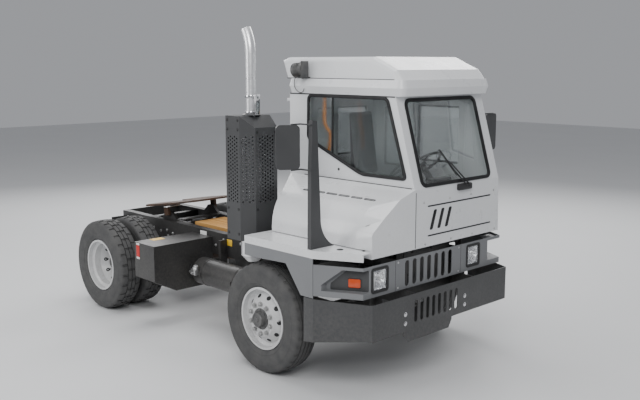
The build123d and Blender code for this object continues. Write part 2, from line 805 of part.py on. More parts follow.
floor_z = (cab_bottom, cab_bottom + floor_thickness)
with BuildPart() as cab_floor:
    floor = [
        (fa(cab_rear), floor_z[0]), (panel_x(floor_z[0]) - cab_wall, floor_z[0]),
        (panel_x(floor_z[1]) - cab_wall, floor_z[1]), (fa(cab_rear), floor_z[1]),
    ]
    side_plate(floor, cab_right, cab_left)
    pivot_reach = half_frame + 16
    cross_tube(fa(cab_pivot_x), cab_pivot_z, cab_pivot_radius, -pivot_reach, pivot_reach)
    for y in (cab_right + 30, 0, 380):
        block((fa(cab_pivot_x) - 25, fa(cab_pivot_x) + 25), (y - 10, y + 10), (cab_pivot_z - 20, floor_z[0]))
cab_floor.part.label = "cab_floor"
export_step(cab_floor.part, "parts/cab_floor.step")

wall_profile = [
    (fa(cab_rear) + cab_wall, floor_z[1]), (panel_x(floor_z[1]) - cab_wall, floor_z[1]),
    (fa(panel_top_x) - cab_wall, panel_top), (fa(header_x) - cab_wall, header_z),
    (fa(cab_rear) + cab_wall, header_z),
]
window = [
    (fa(-289), 2580), (fa(760), 2580), (fa(1000), 1842), (fa(440), 1842), (fa(-295), 2134),
]
with BuildPart() as cab_side_right:
    side_plate(wall_profile, cab_right, cab_right + cab_wall)
    rounded_side_plate(window, window_round, cab_right - 1, cab_right + cab_wall + 1, Mode.SUBTRACT)
cab_side_right.part.label = "cab_side_right"
export_step(cab_side_right.part, "parts/cab_side_right.step")

door_x = (fa(door_span[0]), fa(door_span[1]))
door_z = (floor_z[1] + 40, header_z - 60)
hinge_x = door_x[1] + door_gap / 2
hinge_y = cab_left + door_hinge_reach
hinge_heights = (door_z[0] + 150, door_z[1] - 150)
hinge_half = 45
with BuildPart() as cab_side_left:
    side_plate(wall_profile, cab_left - cab_wall, cab_left)
    block(door_x, (cab_left - cab_wall - 1, cab_left + 1), door_z, Mode.SUBTRACT)
    for height in hinge_heights:
        for z in ((height - hinge_half, height - 16), (height + 16, height + hinge_half)):
            block((hinge_x, hinge_x + 50), (cab_left, hinge_y), z)
            upright(hinge_x, hinge_y, door_hinge_radius, *z)
cab_side_left.part.label = "cab_side_left"
export_step(cab_side_left.part, "parts/cab_side_left.step")

door_frame = 80
door_window = ((door_x[0] + door_frame, door_x[1] - door_frame), (1850, door_z[1] - door_frame))
with BuildPart() as door_left:
    block((door_x[0] + door_gap, door_x[1] - door_gap), (cab_left - cab_wall, cab_left),
          (door_z[0] + door_gap, door_z[1] - door_gap))
    block(door_window[0], (cab_left - cab_wall - 1, cab_left + 1), door_window[1], Mode.SUBTRACT)
    for height in hinge_heights:
        z = (height - 16 + seat_gap, height + 16 - seat_gap)
        block((hinge_x - 50, hinge_x), (cab_left, hinge_y), z)
        upright(hinge_x, hinge_y, door_hinge_radius, *z)
door_left.part.label = "door_left"
export_step(door_left.part, "parts/door_left.step")

rear_opening_z = (floor_z[1] + 60, header_z - 100)
rear_door_z = (rear_opening_z[0] - rear_door_lap, rear_opening_z[1] + rear_door_lap)
rear_door_x = (fa(cab_rear) - rear_door_clear - rear_door_thickness, fa(cab_rear) - rear_door_clear)
with BuildPart() as cab_rear_wall:
    block((fa(cab_rear), fa(cab_rear) + cab_wall), (cab_right, cab_left), (floor_z[1], header_z))
    block((fa(cab_rear) - 1, fa(cab_rear) + cab_wall + 1), rear_door_y, rear_opening_z, Mode.SUBTRACT)
    rail_x = (rear_door_x[0] - 6, fa(cab_rear))
    rail_y = (cab_right, cab_left - 10)
    groove_x = (rear_door_x[0] - seat_gap, rear_door_x[1] + seat_gap)
    block(rail_x, rail_y, (rear_door_z[0] - rear_rail_height, rear_door_z[0] + 10))
    block(rail_x, rail_y, (rear_door_z[1] - 10, rear_door_z[1] + rear_rail_height))
    block(groove_x, (rail_y[0] - 1, rail_y[1] + 1), (rear_door_z[0] - seat_gap, rear_door_z[0] + 11),
          Mode.SUBTRACT)
    block(groove_x, (rail_y[0] - 1, rail_y[1] + 1), (rear_door_z[1] - 11, rear_door_z[1] + seat_gap),
          Mode.SUBTRACT)
cab_rear_wall.part.label = "cab_rear_wall"
export_step(cab_rear_wall.part, "parts/cab_rear_wall.step")

rear_frame = 70
rear_window = ((rear_door_y[0] + rear_frame, rear_door_y[1] - rear_frame),
               (1900, rear_opening_z[1] - rear_frame))
with BuildPart() as rear_door:
    block(rear_door_x, (rear_door_y[0] - rear_door_lap, rear_door_y[1] + rear_door_lap), rear_door_z)
    block((rear_door_x[0] - 1, rear_door_x[1] + 1), *rear_window, Mode.SUBTRACT)
rear_door.part.label = "rear_door"
export_step(rear_door.part, "parts/rear_door.step")

with BuildPart() as cab_front_panel:
    strip = [
        (fa(cab_front), panel_bottom), (fa(panel_top_x), panel_top), (fa(header_x), header_z),
        (fa(header_x) - cab_wall, header_z), (fa(panel_top_x) - cab_wall, panel_top),
        (fa(cab_front) - cab_wall, panel_bottom),
    ]
    side_plate(strip, cab_right, cab_left)
    middle = (sum(windscreen_y) / 2, sum(windscreen_z) / 2)
    with BuildSketch(Plane.YZ.offset(fa(header_x) - 2 * cab_wall)):
        with Locations(middle):
            RectangleRounded(windscreen_y[1] - windscreen_y[0], windscreen_z[1] - windscreen_z[0],
                             windscreen_round)
    extrude(amount=cab_front, mode=Mode.SUBTRACT)
    for z in panel_groove_z:
        with BuildSketch(Plane.YZ.offset(panel_x(z) - panel_groove_depth)):
            with Locations((sum(panel_groove_y) / 2, z)):
                SlotOverall(panel_groove_y[1] - panel_groove_y[0], panel_groove_width)
        extrude(amount=cab_wall, mode=Mode.SUBTRACT)
    for i in range(panel_slots):
        low = (panel_slot_first[0] + i * panel_slot_pitch, panel_slot_first[1])
        high = (low[0] + panel_slot_lean, low[1] + panel_slot_height)
        half = panel_slot_width / 2
        slot = [(low[0] - half, low[1]), (low[0] + half, low[1]), (high[0] + half, high[1]),
                 (high[0] - half, high[1])]
        cross_plate(slot, panel_x(low[1]) - panel_slot_depth, panel_x(low[1]) + cab_wall, Mode.SUBTRACT)
cab_front_panel.part.label = "cab_front_panel"
export_step(cab_front_panel.part, "parts/cab_front_panel.step")

# Roof: a flared band over the walls, and a low fairing that reaches past the rear wall
roof_z = header_z
roof_centre = ((fa(cab_rear) + fa(roof_front)) / 2, (cab_right + cab_left) / 2)
roof_length = roof_front - cab_rear
roof_width = cab_left - cab_right + 2 * roof_overhang
fairing_y = (cab_right + 5, cab_left - 5)
with BuildPart() as roof_fairing:
    fairing = [
        (fa(cab_rear - 60), band_top), (fa(cab_rear - roof_rear_reach), roof_top - 30),
        (fa(cab_rear - 40), roof_top),
        (fa(560), roof_top), (fa(840), roof_top - 120), (fa(roof_front - 20), band_top),
    ]
    side_plate(fairing, *fairing_y)
    shoulders = []
    for edge in roof_fairing.edges():
        on_side = min(abs(edge.center().Y - y) for y in fairing_y) < 1
        if on_side and edge.center().Z > band_top + 1:
            shoulders.append(edge)
    fillet(shoulders, roof_round)
with BuildPart() as cab_roof:
    for top, foot in ((band_top, visor_z), (roof_z, visor_z)):
        with BuildSketch(Plane.XY.offset(top)):
            with Locations(roof_centre):
                RectangleRounded(roof_length, roof_width, 60)
        with BuildSketch(Plane.XY.offset(foot)):
            with Locations(roof_centre):
                RectangleRounded(roof_length + 2 * visor_reach, roof_width + 2 * visor_reach,
                                 60 + visor_reach)
        loft()
    add(roof_fairing.part)
    fairing_hollow = [
        (fa(cab_rear - 60) + roof_wall, band_top - 2),
        (fa(cab_rear - roof_rear_reach) + roof_wall, roof_top - 30 - roof_wall),
        (fa(cab_rear - 40), roof_top - roof_wall), (fa(560) - 10, roof_top - roof_wall),
        (fa(840) - roof_wall, roof_top - 120 - roof_wall), (fa(header_x) - cab_wall, band_top - 2),
    ]
    hollow_y = (fairing_y[0] + roof_round, fairing_y[1] - roof_round)
    side_plate(fairing_hollow, *hollow_y, Mode.SUBTRACT)
    block((fa(cab_rear) + cab_wall, fa(header_x) - cab_wall), (cab_right + cab_wall, cab_left - cab_wall),
          (roof_z - 1, band_top), Mode.SUBTRACT)
cab_roof.part.label = "cab_roof"
export_step(cab_roof.part, "parts/cab_roof.step")

# Moulded engine cover beside the cab: round in section, drawn out to a flat front with a straight ridge
cover_start = cab_right - seat_gap
cover_body = [(cover_start, 1775), (-740, 1640), (-850, 1540), (cover_side, 1400), (cover_side, cover_bottom)]
cover_nose = [(cover_start, 1775), (-522, 1706), (-740, 1556), (-880, 1446), (-876, cover_bottom)]
cover_plan = [(fa(-160), cover_side), (fa(-240), -700), (fa(cab_rear + 9), cover_start)]
cover_inner_side = cover_start + 40


def cover_face(points, radius, x, inset):
    """Section of the cover at X, closed along the cab and the deck."""
    line = sideways(points, inset)
    corners = [(cover_start, cover_bottom)]
    if inset:
        low = cover_bottom - 20
        corners = [(line[-1][0], low), (cover_inner_side, low), (cover_inner_side, line[0][1])]
    with BuildSketch(Plane.YZ.offset(x)) as outline:
        with BuildLine():
            curve = FilletPolyline(*line, radius=radius - inset)
            Polyline(curve @ 1, *corners, curve @ 0)
        make_face()
    return outline.sketch


def cover_form(front, inset):
    """Body and nose of the cover, with its rear slanted in plan."""
    extrude(cover_face(cover_body, cover_round, fa(cab_rear), inset), amount=cover_turn - cab_rear)
    loft([cover_face(cover_body, cover_round, fa(cover_turn), inset),
        cover_face(cover_nose, cover_nose_round, front, inset)],
         ruled=True)
    rear = sideways(cover_plan, -inset)
    behind = fa(cab_rear) - 300
    beyond = ((rear[0][0] + 20, cover_side - 50), (rear[-1][0] - 62, cover_inner_side + 40))
    outside = [(behind, beyond[0][1]), beyond[0], *rear, beyond[1], (behind, beyond[1][1])]
    flat_plate(outside, cover_bottom - 60, cover_body[0][1] + 100, Mode.SUBTRACT)


with BuildPart() as cover_hollow:
    cover_form(fa(cab_front) - cover_wall, cover_wall)
    block((fa(cover_skirt_x) - 1, fa(cab_front) - cover_wall),
          (cover_nose[-1][0] + cover_wall, cover_inner_side),
          (panel_bottom - 1, cover_bottom + 1))
with BuildPart() as engine_cover:
    cover_form(fa(cab_front), 0)
    block((fa(cover_skirt_x), fa(cab_front)), (cover_nose[-1][0], cover_start),
          (panel_bottom, cover_bottom + 1))
    add(cover_hollow.part, mode=Mode.SUBTRACT)
    for i in range(cover_slots):
        middle = fa(cover_slot_first + i * cover_slot_pitch)
        block((middle - cover_slot_length / 2, middle + cover_slot_length / 2),
              (cover_slot_y - cover_slot_width / 2, cover_slot_y + cover_slot_width / 2), (1600, 1800),
              Mode.SUBTRACT)
engine_cover.part.label = "engine_cover"
export_step(engine_cover.part, "parts/engine_cover.step")

# Glass: windscreen and right side window
inset = 14


def windscreen_opening(gap):
    """Rounded outline of the windscreen seen from ahead, smaller by a gap on every side."""
    middle = (sum(windscreen_y) / 2, sum(windscreen_z) / 2)
    width = windscreen_y[1] - windscreen_y[0] - 2 * gap
    height = windscreen_z[1] - windscreen_z[0] - 2 * gap
    with BuildSketch(Plane.YZ.offset(fa(header_x) - 2 * cab_wall)) as outline:
        with Locations(middle):
            RectangleRounded(width, height, windscreen_round - gap)
    return outline.sketch


with BuildPart() as cab_glass:
    low, high = windscreen_z
    pane = [
        (front_edge_x(low) - inset, low), (front_edge_x(high) - inset, high),
        (front_edge_x(high) - inset - glass_thickness, high), (front_edge_x(low) - inset - glass_thickness,
            low),
    ]
    side_plate(pane, *windscreen_y)
    extrude(windscreen_opening(glass_gap), amount=cab_front, mode=Mode.INTERSECT)
    with BuildSketch(Plane.XZ.offset(-(cab_right + inset + glass_thickness))) as side_window:
        with BuildLine():
            FilletPolyline(*window, radius=window_round, close=True)
        make_face()
        offset(amount=-glass_gap, mode=Mode.REPLACE)
    extrude(side_window.sketch, amount=glass_thickness)
cab_glass.part.label = "cab_glass"
export_step(cab_glass.part, "parts/cab_glass.step")

with BuildPart() as door_glass:
    block((door_window[0][0] + glass_gap, door_window[0][1] - glass_gap),
          (cab_left - inset - glass_thickness, cab_left - inset),
          (door_window[1][0] + glass_gap, door_window[1][1] - glass_gap))
door_glass.part.label = "door_glass"
export_step(door_glass.part, "parts/door_glass.step")

with BuildPart() as rear_door_glass:
    block((rear_door_x[0] + 12, rear_door_x[0] + 12 + glass_thickness),
          (rear_window[0][0] + glass_gap, rear_window[0][1] - glass_gap),
          (rear_window[1][0] + glass_gap, rear_window[1][1] - glass_gap))
rear_door_glass.part.label = "rear_door_glass"
export_step(rear_door_glass.part, "parts/rear_door_glass.step")

# Seat: pedestal and two pads
seat_x = 150
seat_y = 350
with BuildPart() as seat_base:
    block((fa(seat_x) - 170, fa(seat_x) + 170), (seat_y - 180, seat_y + 180), (floor_z[1], floor_z[1] + 60))
    block((fa(seat_x) - 120, fa(seat_x) + 120), (seat_y - 130, seat_y + 130),
          (floor_z[1] + 60, floor_z[1] + 300))
    block((fa(seat_x) - 220, fa(seat_x) + 220), (seat_y - 220, seat_y + 220),
          (floor_z[1] + 300, floor_z[1] + 330))
seat_base.part.label = "seat_base"
export_step(seat_base.part, "parts/seat_base.step")

with BuildPart() as seat_pads:
    block((fa(seat_x) - 240, fa(seat_x) + 260), (seat_y - 245, seat_y + 245),
          (floor_z[1] + 330.3, floor_z[1] + 440))
    back = [
        (fa(seat_x) - 240, floor_z[1] + 440.3), (fa(seat_x) - 130, floor_z[1] + 440.3),
        (fa(seat_x) - 230, floor_z[1] + 1080),
        (fa(seat_x) - 310, floor_z[1] + 1080),
    ]
    side_plate(back, seat_y - 235, seat_y + 235)
seat_pads.part.label = "seat_pads"
export_step(seat_pads.part, "parts/seat_pads.step")

# Steering column line, from the wheel's hub down into the dashboard
wheel_centre = (fa(640), seat_y, 1900)
column_foot = (fa(820), seat_y, 1690)
column = Plane(origin=wheel_centre, x_dir=(0, 1, 0),
               z_dir=(column_foot[0] - wheel_centre[0], 0, column_foot[2] - wheel_centre[2]))
column_length = hypot(column_foot[0] - wheel_centre[0], column_foot[2] - wheel_centre[2])

# Dashboard along the windscreen
with BuildPart() as dashboard:
    dash = [
        (fa(cab_front) - cab_wall - 6, floor_z[1]), (fa(panel_top_x) - cab_wall - 4, panel_top - 20),
        (fa(860), panel_top - 10),
        (fa(800), panel_top - 130), (fa(930), panel_top - 220), (fa(960), floor_z[1]),
    ]
    side_plate(dash, cab_right + cab_wall + 2, cab_left - cab_wall - 2)
    with BuildSketch(column):
        Circle(34 + seat_gap)
    extrude(amount=column_length + 1, mode=Mode.SUBTRACT)
dashboard.part.label = "dashboard"
export_step(dashboard.part, "parts/dashboard.step")

# Steering wheel and column
with BuildPart() as steering_wheel:
    with BuildSketch(column.offset(-10)):
        Circle(215)
        Circle(190, mode=Mode.SUBTRACT)
        for angle in (90, 210, 330):
            with Locations(Rotation(0, 0, angle)):
                with Locations((100, 0)):
                    Rectangle(200, 26)
        Circle(50)
    extrude(amount=24)
steering_wheel.part.label = "steering_wheel"
export_step(steering_wheel.part, "parts/steering_wheel.step")

with BuildPart() as steering_column:
    with BuildSketch(column.offset(14 + seat_gap)):
        Circle(34)
    extrude(amount=column_length - 14)
steering_column.part.label = "steering_column"
export_step(steering_column.part, "parts/steering_column.step")

# Exhaust guard: a folded box with one chamfered corner, a sloped top and three perforated faces
guard_middle = (fa((guard_front + guard_rear) / 2), (guard_outer + guard_inner) / 2)
guard_bend = fa(guard_front - guard_chamfer)
guard_plan = [
    (fa(guard_rear), guard_inner), (fa(guard_rear), guard_outer), (guard_bend, guard_outer),
    (fa(guard_front), guard_outer + guard_chamfer), (fa(guard_front), guard_inner),
]


def guard_form(shrink):
    """Body of the guard, smaller all round by a wall."""
    with BuildSketch(Plane.XY.offset(guard_bottom - shrink)) as plan:
        with BuildLine():
            Polyline(*guard_plan, close=True)
        make_face()
        offset(amount=-shrink, kind=Kind.INTERSECTION)
    extrude(plan.sketch, amount=guard_top - guard_bottom)
    above = [
        (guard_bend, guard_top - shrink), (fa(guard_front) + 1, guard_front_top - shrink),
        (fa(guard_front) + 1, guard_top + 1), (guard_bend, guard_top + 1),
    ]
    side_plate(above, guard_outer - 1, guard_inner + 1, Mode.SUBTRACT)


# Perforated faces: name / start corner / end corner / columns
perforated_faces = (
    ("side", guard_plan[1], guard_plan[2], 5),
    ("chamfer", guard_plan[2], guard_plan[3], 4),
    ("front", guard_plan[3], guard_plan[4], 6),
)

with BuildPart() as guard_hollow:
    guard_form(guard_wall)
with BuildPart() as exhaust_guard:
    guard_form(0)
    add(guard_hollow.part, mode=Mode.SUBTRACT)
    upright(*guard_middle, stack_radius + 8, guard_top - 90, guard_top + 1, Mode.SUBTRACT)
    for z in (guard_bottom + 120, guard_top - 260):
        with BuildSketch(Plane.XY.offset(z)) as shelf:
            with BuildLine():
                Polyline(*guard_plan, close=True)
            make_face()
            offset(amount=-guard_wall / 2, kind=Kind.INTERSECTION)
            with Locations(guard_middle):
                Circle(can_radius + seat_gap, mode=Mode.SUBTRACT)
        extrude(shelf.sketch, amount=guard_wall)
    for x in (fa(guard_rear) + 30, fa(guard_front) - 30):
        block((x - 30, x + 30), (guard_inner, -half_frame), (guard_bottom, guard_bottom + 8))
        block((x - 30, x + 30), (-half_frame - 8, -half_frame), (rail_bottom + 60, guard_bottom + 8))
    for name, start, end, columns in perforated_faces:
        run = (end[0] - start[0], end[1] - start[1])
        length = hypot(*run)
        face = Plane(origin=(*start, 0), x_dir=(*run, 0), z_dir=(run[1], -run[0], 0))
        with BuildSketch(face.offset(-guard_wall - 2)) as holes:
            for column in range(columns):
                along = length / 2 + (column - (columns - 1) / 2) * guard_hole_pitch
                low = guard_hole_low + (column % 2) * guard_hole_rise / 2
                with Locations((along, low + (guard_hole_rows - 1) * guard_hole_rise / 2)):
                    with GridLocations(1, guard_hole_rise, 1, guard_hole_rows):
                        RegularPolygon(guard_hole_radius, 6)
        extrude(holes.sketch, amount=guard_wall + 6, mode=Mode.SUBTRACT)
exhaust_guard.part.label = "exhaust_guard"
export_step(exhaust_guard.part, "parts/exhaust_guard.step")

# Exhaust: can inside the guard and the curved pipe above it
can_x, can_y = guard_middle
with BuildPart() as exhaust_stack:
    upright(can_x, can_y, can_radius, can_shoulder, guard_top - 150)
    with Locations((can_x, can_y, (can_bottom + can_shoulder) / 2)):
        Cone(can_neck_radius, can_radius, can_shoulder - can_bottom)
    with BuildSketch(Plane.XY.offset(guard_top - 151)):
        with Locations((can_x, can_y)):
            Circle(stack_radius)
    with BuildLine(Plane.XZ.offset(-can_y)):
        straight = Line((can_x, guard_top - 151), (can_x, stack_top - 260))
        JernArc(straight @ 1, straight % 1, 420, 32)
    sweep()
    with BuildSketch(Plane.XY.offset(stack_top - 260)):
        with Locations((can_x, can_y)):
            Circle(stack_radius - 4)
    with BuildLine(Plane.XZ.offset(-can_y)):
        JernArc((can_x, stack_top - 260), (0, 1), 420, 33)
    sweep(mode=Mode.SUBTRACT)
exhaust_stack.part.label = "exhaust_stack"
export_step(exhaust_stack.part, "parts/exhaust_stack.step")

# Mirrors: the right one on a tall post that flares into its foot, the left one on arms from the cab
post_x = 686
post_plate = 8
post_flange = 40
mirror_reach = side_half_width + 200
mirror_width = 206
mirror_height = 380
mirror_thickness = 32
mirror_z = 2180
mirror_round = 38
arm_half = 6
arm_heights = (mirror_z - mirror_height / 2 - 4, mirror_z + mirror_height / 2 + 4)
post_foot = deck_top + seat_gap
arm_y = (10 - side_half_width, 22 - side_half_width)


def mirror_head(inner, outer):
    """Rounded mirror between two points in plan, its housing towards the rear."""
    run = (outer[0] - inner[0], outer[1] - inner[1])
    side = 1 if run[1] > 0 else -1
    middle = ((inner[0] + outer[0]) / 2, (inner[1] + outer[1]) / 2, mirror_z)
    plane = Plane(origin=middle, x_dir=(*run, 0), z_dir=(-side * run[1], side * run[0], 0))
    with BuildSketch(plane) as face:
        RectangleRounded(mirror_width, mirror_height, mirror_round)
    extrude(face.sketch, amount=mirror_thickness)


with BuildPart() as mirror_right:
    with BuildSketch(Plane.YZ.offset(fa(post_x) - post_plate / 2)):
        with BuildLine():
            foot = Line((14 - side_half_width, post_foot), (300 - side_half_width, post_foot))
            flare = ThreePointArc(foot @ 1, (188 - side_half_width, post_foot + 88),
                                  (132 - side_half_width, post_foot + 270))
            Polyline(flare @ 1, (90 - side_half_width, 2400), (34 - side_half_width, 2410),
                     (20 - side_half_width, 2000), foot @ 0)
        make_face()
    extrude(amount=post_plate)
    edge = [(14 - side_half_width, post_foot), (20 - side_half_width, 2000), (34 - side_half_width, 2410),
            (40 - side_half_width, 2410), (26 - side_half_width, 2000), (20 - side_half_width, post_foot)]
    cross_plate(edge, fa(post_x) - post_flange, fa(post_x) + post_plate / 2)
    for z in arm_heights:
        block((fa(552), fa(post_x) + 4), arm_y, (z - arm_half, z + arm_half))
        block((fa(552), fa(566)), (-side_half_width - 90, arm_y[1]), (z - arm_half, z + arm_half))
        block((fa(post_x) - 8, fa(post_x) + 4), (arm_y[0], 60 - side_half_width),
              (z - arm_half, z + arm_half))
    mirror_head((fa(600), 174 - mirror_reach), (fa(490), -mirror_reach))
mirror_right.part.label = "mirror_right"
export_step(mirror_right.part, "parts/mirror_right.step")

left_arm_x = (fa(800), fa(812))
left_arm_y = side_half_width + 80
with BuildPart() as mirror_left:
    for z in arm_heights:
        block(left_arm_x, (cab_left, left_arm_y), (z - arm_half, z + arm_half))
        block((fa(760), left_arm_x[1]), (left_arm_y - 12, left_arm_y), (z - arm_half, z + arm_half))
    mirror_head((fa(790), mirror_reach - 204), (fa(770), mirror_reach))
mirror_left.part.label = "mirror_left"
export_step(mirror_left.part, "parts/mirror_left.step")

# Plank deck between the rails
planks = 6
plank_gap = 8
plank_space = 2 * (half_frame - rail_flange - panel_gap)
plank_width = (plank_space + plank_gap) / planks - plank_gap
with BuildPart() as plank_deck:
    for i in range(planks):
        y = (i - (planks - 1) / 2) * (plank_width + plank_gap)
        wide = abs(y) + plank_width / 2 > boom_arm_y - 20
        rear = fa(boom_pivot) + 120 if wide else fa(-2370)
        block((rear, fa(-620)), (y - plank_width / 2, y + plank_width / 2), (member_top, rail_top))
plank_deck.part.label = "plank_deck"
export_step(plank_deck.part, "parts/plank_deck.step")

# Box ahead of the right rear wheels
with BuildPart() as battery_box:
    box = [
        (-side_half_width, 936), (-side_half_width, 545), (-936, 400), (-half_frame, 400), (-half_frame, 936),
    ]
    cross_plate(box, fa(-2135), fa(-1750))
battery_box.part.label = "battery_box"
export_step(battery_box.part, "parts/battery_box.step")

# Air tanks on the right rail, ahead of the box
with BuildPart() as air_tank:
    with BuildSketch(Plane.YZ.offset(fa(-1650))):
        with Locations((-640, 600)):
            Circle(150)
    extrude(amount=850)
    for x in (fa(-1500), fa(-950)):
        block((x - 20, x + 20), (-520, -half_frame), (560, rail_top - 60))
air_tank.part.label = "air_tank"
export_step(air_tank.part, "parts/air_tank.step")

# Fuel tank and steps on the left
with BuildPart() as fuel_tank:
    with BuildSketch(Plane.YZ.offset(fa(-1500))):
        with Locations((850, 640)):
            RectangleRounded(600, 520, 120)
    extrude(amount=750)
    for x in (fa(-1350), fa(-900)):
        block((x - 20, x + 20), (half_frame, 560), (560, rail_top - 60))
fuel_tank.part.label = "fuel_tank"
export_step(fuel_tank.part, "parts/fuel_tank.step")

# Lift boom: two arms, pivot tube and a bridge under the fifth wheel
arm_outer = boom_arm_y + boom_arm_thickness
with BuildPart() as boom:
    outline = [
        (fa(boom_pivot) + 60, boom_pivot_z - 40), (fa(boom_pivot) + 60, boom_pivot_z + 40),
        (fa(boom_pivot) + 20, boom_pivot_z + 65),
        (fa(plate_pivot) + 160, 1010), (fa(plate_pivot) + 45, plate_pivot_z + 20),
        (fa(plate_pivot) - 45, plate_pivot_z + 20),
        (fa(plate_pivot) - 140, 1000), (fa(plate_pivot) - 140, 880), (fa(-2300), 840),
        (fa(boom_pivot) - 20, boom_pivot_z - 65),
    ]
    for side in (-1, 1):
        side_plate(outline, *sorted((side * boom_arm_y, side * arm_outer)))
        cross_tube(fa(boom_pivot), boom_pivot_z, boom_pin_radius,
                   *sorted((side * arm_outer, side * (web_inner - seat_gap))))
    cross_tube(fa(boom_pivot), boom_pivot_z, 55, -boom_arm_y, boom_arm_y)
    cross_tube(fa(plate_pivot), plate_pivot_z, plate_pin_radius + pin_gap, -arm_outer - 1, arm_outer + 1,
               Mode.SUBTRACT)
    block((fa(plate_pivot) - 130, fa(plate_pivot) + 130), (-boom_arm_y, boom_arm_y), (930, 950))
    for side in (-1, 1):
        for shift in (-34, 34):
            ear = side * cylinder_y + shift
            block((fa(cylinder_eye) - 40, fa(cylinder_eye) + 40), (ear - 6, ear + 6),
                  (cylinder_eye_z - 40, cylinder_eye_z + 40))
    block((fa(cylinder_eye) - 40, fa(cylinder_eye) + 40), (-boom_arm_y, boom_arm_y),
          (cylinder_eye_z + 40, cylinder_eye_z + 52))
boom.part.label = "boom"
export_step(boom.part, "parts/boom.step")

# Lift cylinders
cylinder_run = (fa(cylinder_eye) - fa(cylinder_base), cylinder_eye_z - cylinder_base_z)
cylinder_length = hypot(*cylinder_run)
with BuildPart() as lift_barrels:
    for side in (-1, 1):
        base = Plane(origin=(fa(cylinder_base), side * cylinder_y, cylinder_base_z), x_dir=(0, 1, 0),
                     z_dir=(cylinder_run[0], 0, cylinder_run[1]))
        with BuildSketch(base.offset(20)):
            Circle(18)
        extrude(amount=40)
        with BuildSketch(base.offset(50)):
            Circle(barrel_radius)
        extrude(amount=barrel_length - 50)
        cross_tube(fa(cylinder_base), cylinder_base_z, 34, side * cylinder_y - 18, side * cylinder_y + 18)
        cross_tube(fa(cylinder_base), cylinder_base_z, 16 + pin_gap, side * cylinder_y - 19,
                   side * cylinder_y + 19, Mode.SUBTRACT)
        with BuildSketch(base.offset(70)):
            Circle(rod_radius + pin_gap)
        extrude(amount=barrel_length, mode=Mode.SUBTRACT)
lift_barrels.part.label = "lift_barrels"
export_step(lift_barrels.part, "parts/lift_barrels.step")

with BuildPart() as lift_rods:
    for side in (-1, 1):
        base = Plane(origin=(fa(cylinder_base), side * cylinder_y, cylinder_base_z), x_dir=(0, 1, 0),
                     z_dir=(cylinder_run[0], 0, cylinder_run[1]))
        with BuildSketch(base.offset(74)):
            Circle(rod_radius)
        extrude(amount=cylinder_length - 84)
        cross_tube(fa(cylinder_eye), cylinder_eye_z, 30, side * cylinder_y - 22, side * cylinder_y + 22)
lift_rods.part.label = "lift_rods"
export_step(lift_rods.part, "parts/lift_rods.step")

# Fifth wheel plate, tilted back as it rests unloaded
tilt = radians(plate_tilt)
plate = Plane(origin=(fa(plate_pivot), 0, plate_pivot_z), x_dir=(cos(tilt), 0, sin(tilt)),
              z_dir=(-sin(tilt), 0, cos(tilt)))
with BuildPart() as fifth_wheel:
    with BuildSketch(plate.offset(plate_rise - plate_thickness)):
        with BuildLine():
            Polyline(
                (plate_front, -200), (plate_front, 200), (plate_front - 140, plate_width / 2 - 40),
                (100, plate_width / 2),
                (-plate_rear + 120, plate_width / 2), (-plate_rear, plate_width / 2 - 110),
                (-plate_rear, throat_width / 2 + 40),
                (-60, kingpin_radius), (60, kingpin_radius), (60, -kingpin_radius), (-60, -kingpin_radius),
                (-plate_rear, -throat_width / 2 - 40),
                (-plate_rear, -plate_width / 2 + 110), (-plate_rear + 120, -plate_width / 2),
                (100, -plate_width / 2),
                (plate_front - 140, -plate_width / 2 + 40), close=True,
            )
        make_face()
        with Locations((60, 0)):
            Circle(kingpin_radius, mode=Mode.SUBTRACT)
    extrude(amount=plate_thickness)
    for side in (-1, 1):
        y = sorted((side * (arm_outer + 6), side * (arm_outer + 36)))
        with BuildSketch(plate.offset(-35)):
            with Locations((0, sum(y) / 2)):
                Rectangle(90, y[1] - y[0])
        extrude(amount=plate_rise - plate_thickness + 35 + 1)
        cross_tube(fa(plate_pivot), plate_pivot_z, plate_pin_radius,
                   *sorted((side * (boom_arm_y + 3), side * (arm_outer + 20))))
fifth_wheel.part.label = "fifth_wheel"
export_step(fifth_wheel.part, "parts/fifth_wheel.step")
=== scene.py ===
from math import atan2, cos, pi, radians, sin

import bpy
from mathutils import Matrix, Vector


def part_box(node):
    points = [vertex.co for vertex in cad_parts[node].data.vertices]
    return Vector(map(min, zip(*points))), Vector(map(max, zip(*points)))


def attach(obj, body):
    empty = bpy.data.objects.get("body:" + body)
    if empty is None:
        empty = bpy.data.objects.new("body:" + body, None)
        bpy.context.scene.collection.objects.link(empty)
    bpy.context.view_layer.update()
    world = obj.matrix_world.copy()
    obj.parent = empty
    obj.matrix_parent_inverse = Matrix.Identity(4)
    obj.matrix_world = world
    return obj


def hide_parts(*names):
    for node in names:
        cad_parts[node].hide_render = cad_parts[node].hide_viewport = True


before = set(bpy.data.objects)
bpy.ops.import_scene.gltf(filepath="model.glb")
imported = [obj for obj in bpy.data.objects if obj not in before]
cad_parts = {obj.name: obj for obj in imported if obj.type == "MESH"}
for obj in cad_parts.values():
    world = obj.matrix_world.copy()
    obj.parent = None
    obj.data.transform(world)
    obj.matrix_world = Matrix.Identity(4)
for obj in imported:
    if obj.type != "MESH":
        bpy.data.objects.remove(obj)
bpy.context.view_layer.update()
print("frame loaded")

frontAxle = 1.220  # metres ahead of the vehicle's middle
rearAxle = -1.726
tyreRadius = 0.526


def fa(x):  # distance ahead of the front axle, as an x position
    return frontAxle + x


# Camera at the photo's place

cameraSetup = {
    "place": (6.989, -6.009, 2.885),
    "heading": 135.90,
    "down": 9.34,
    "lens": 46.816,
    "sensor": 36.0,
}


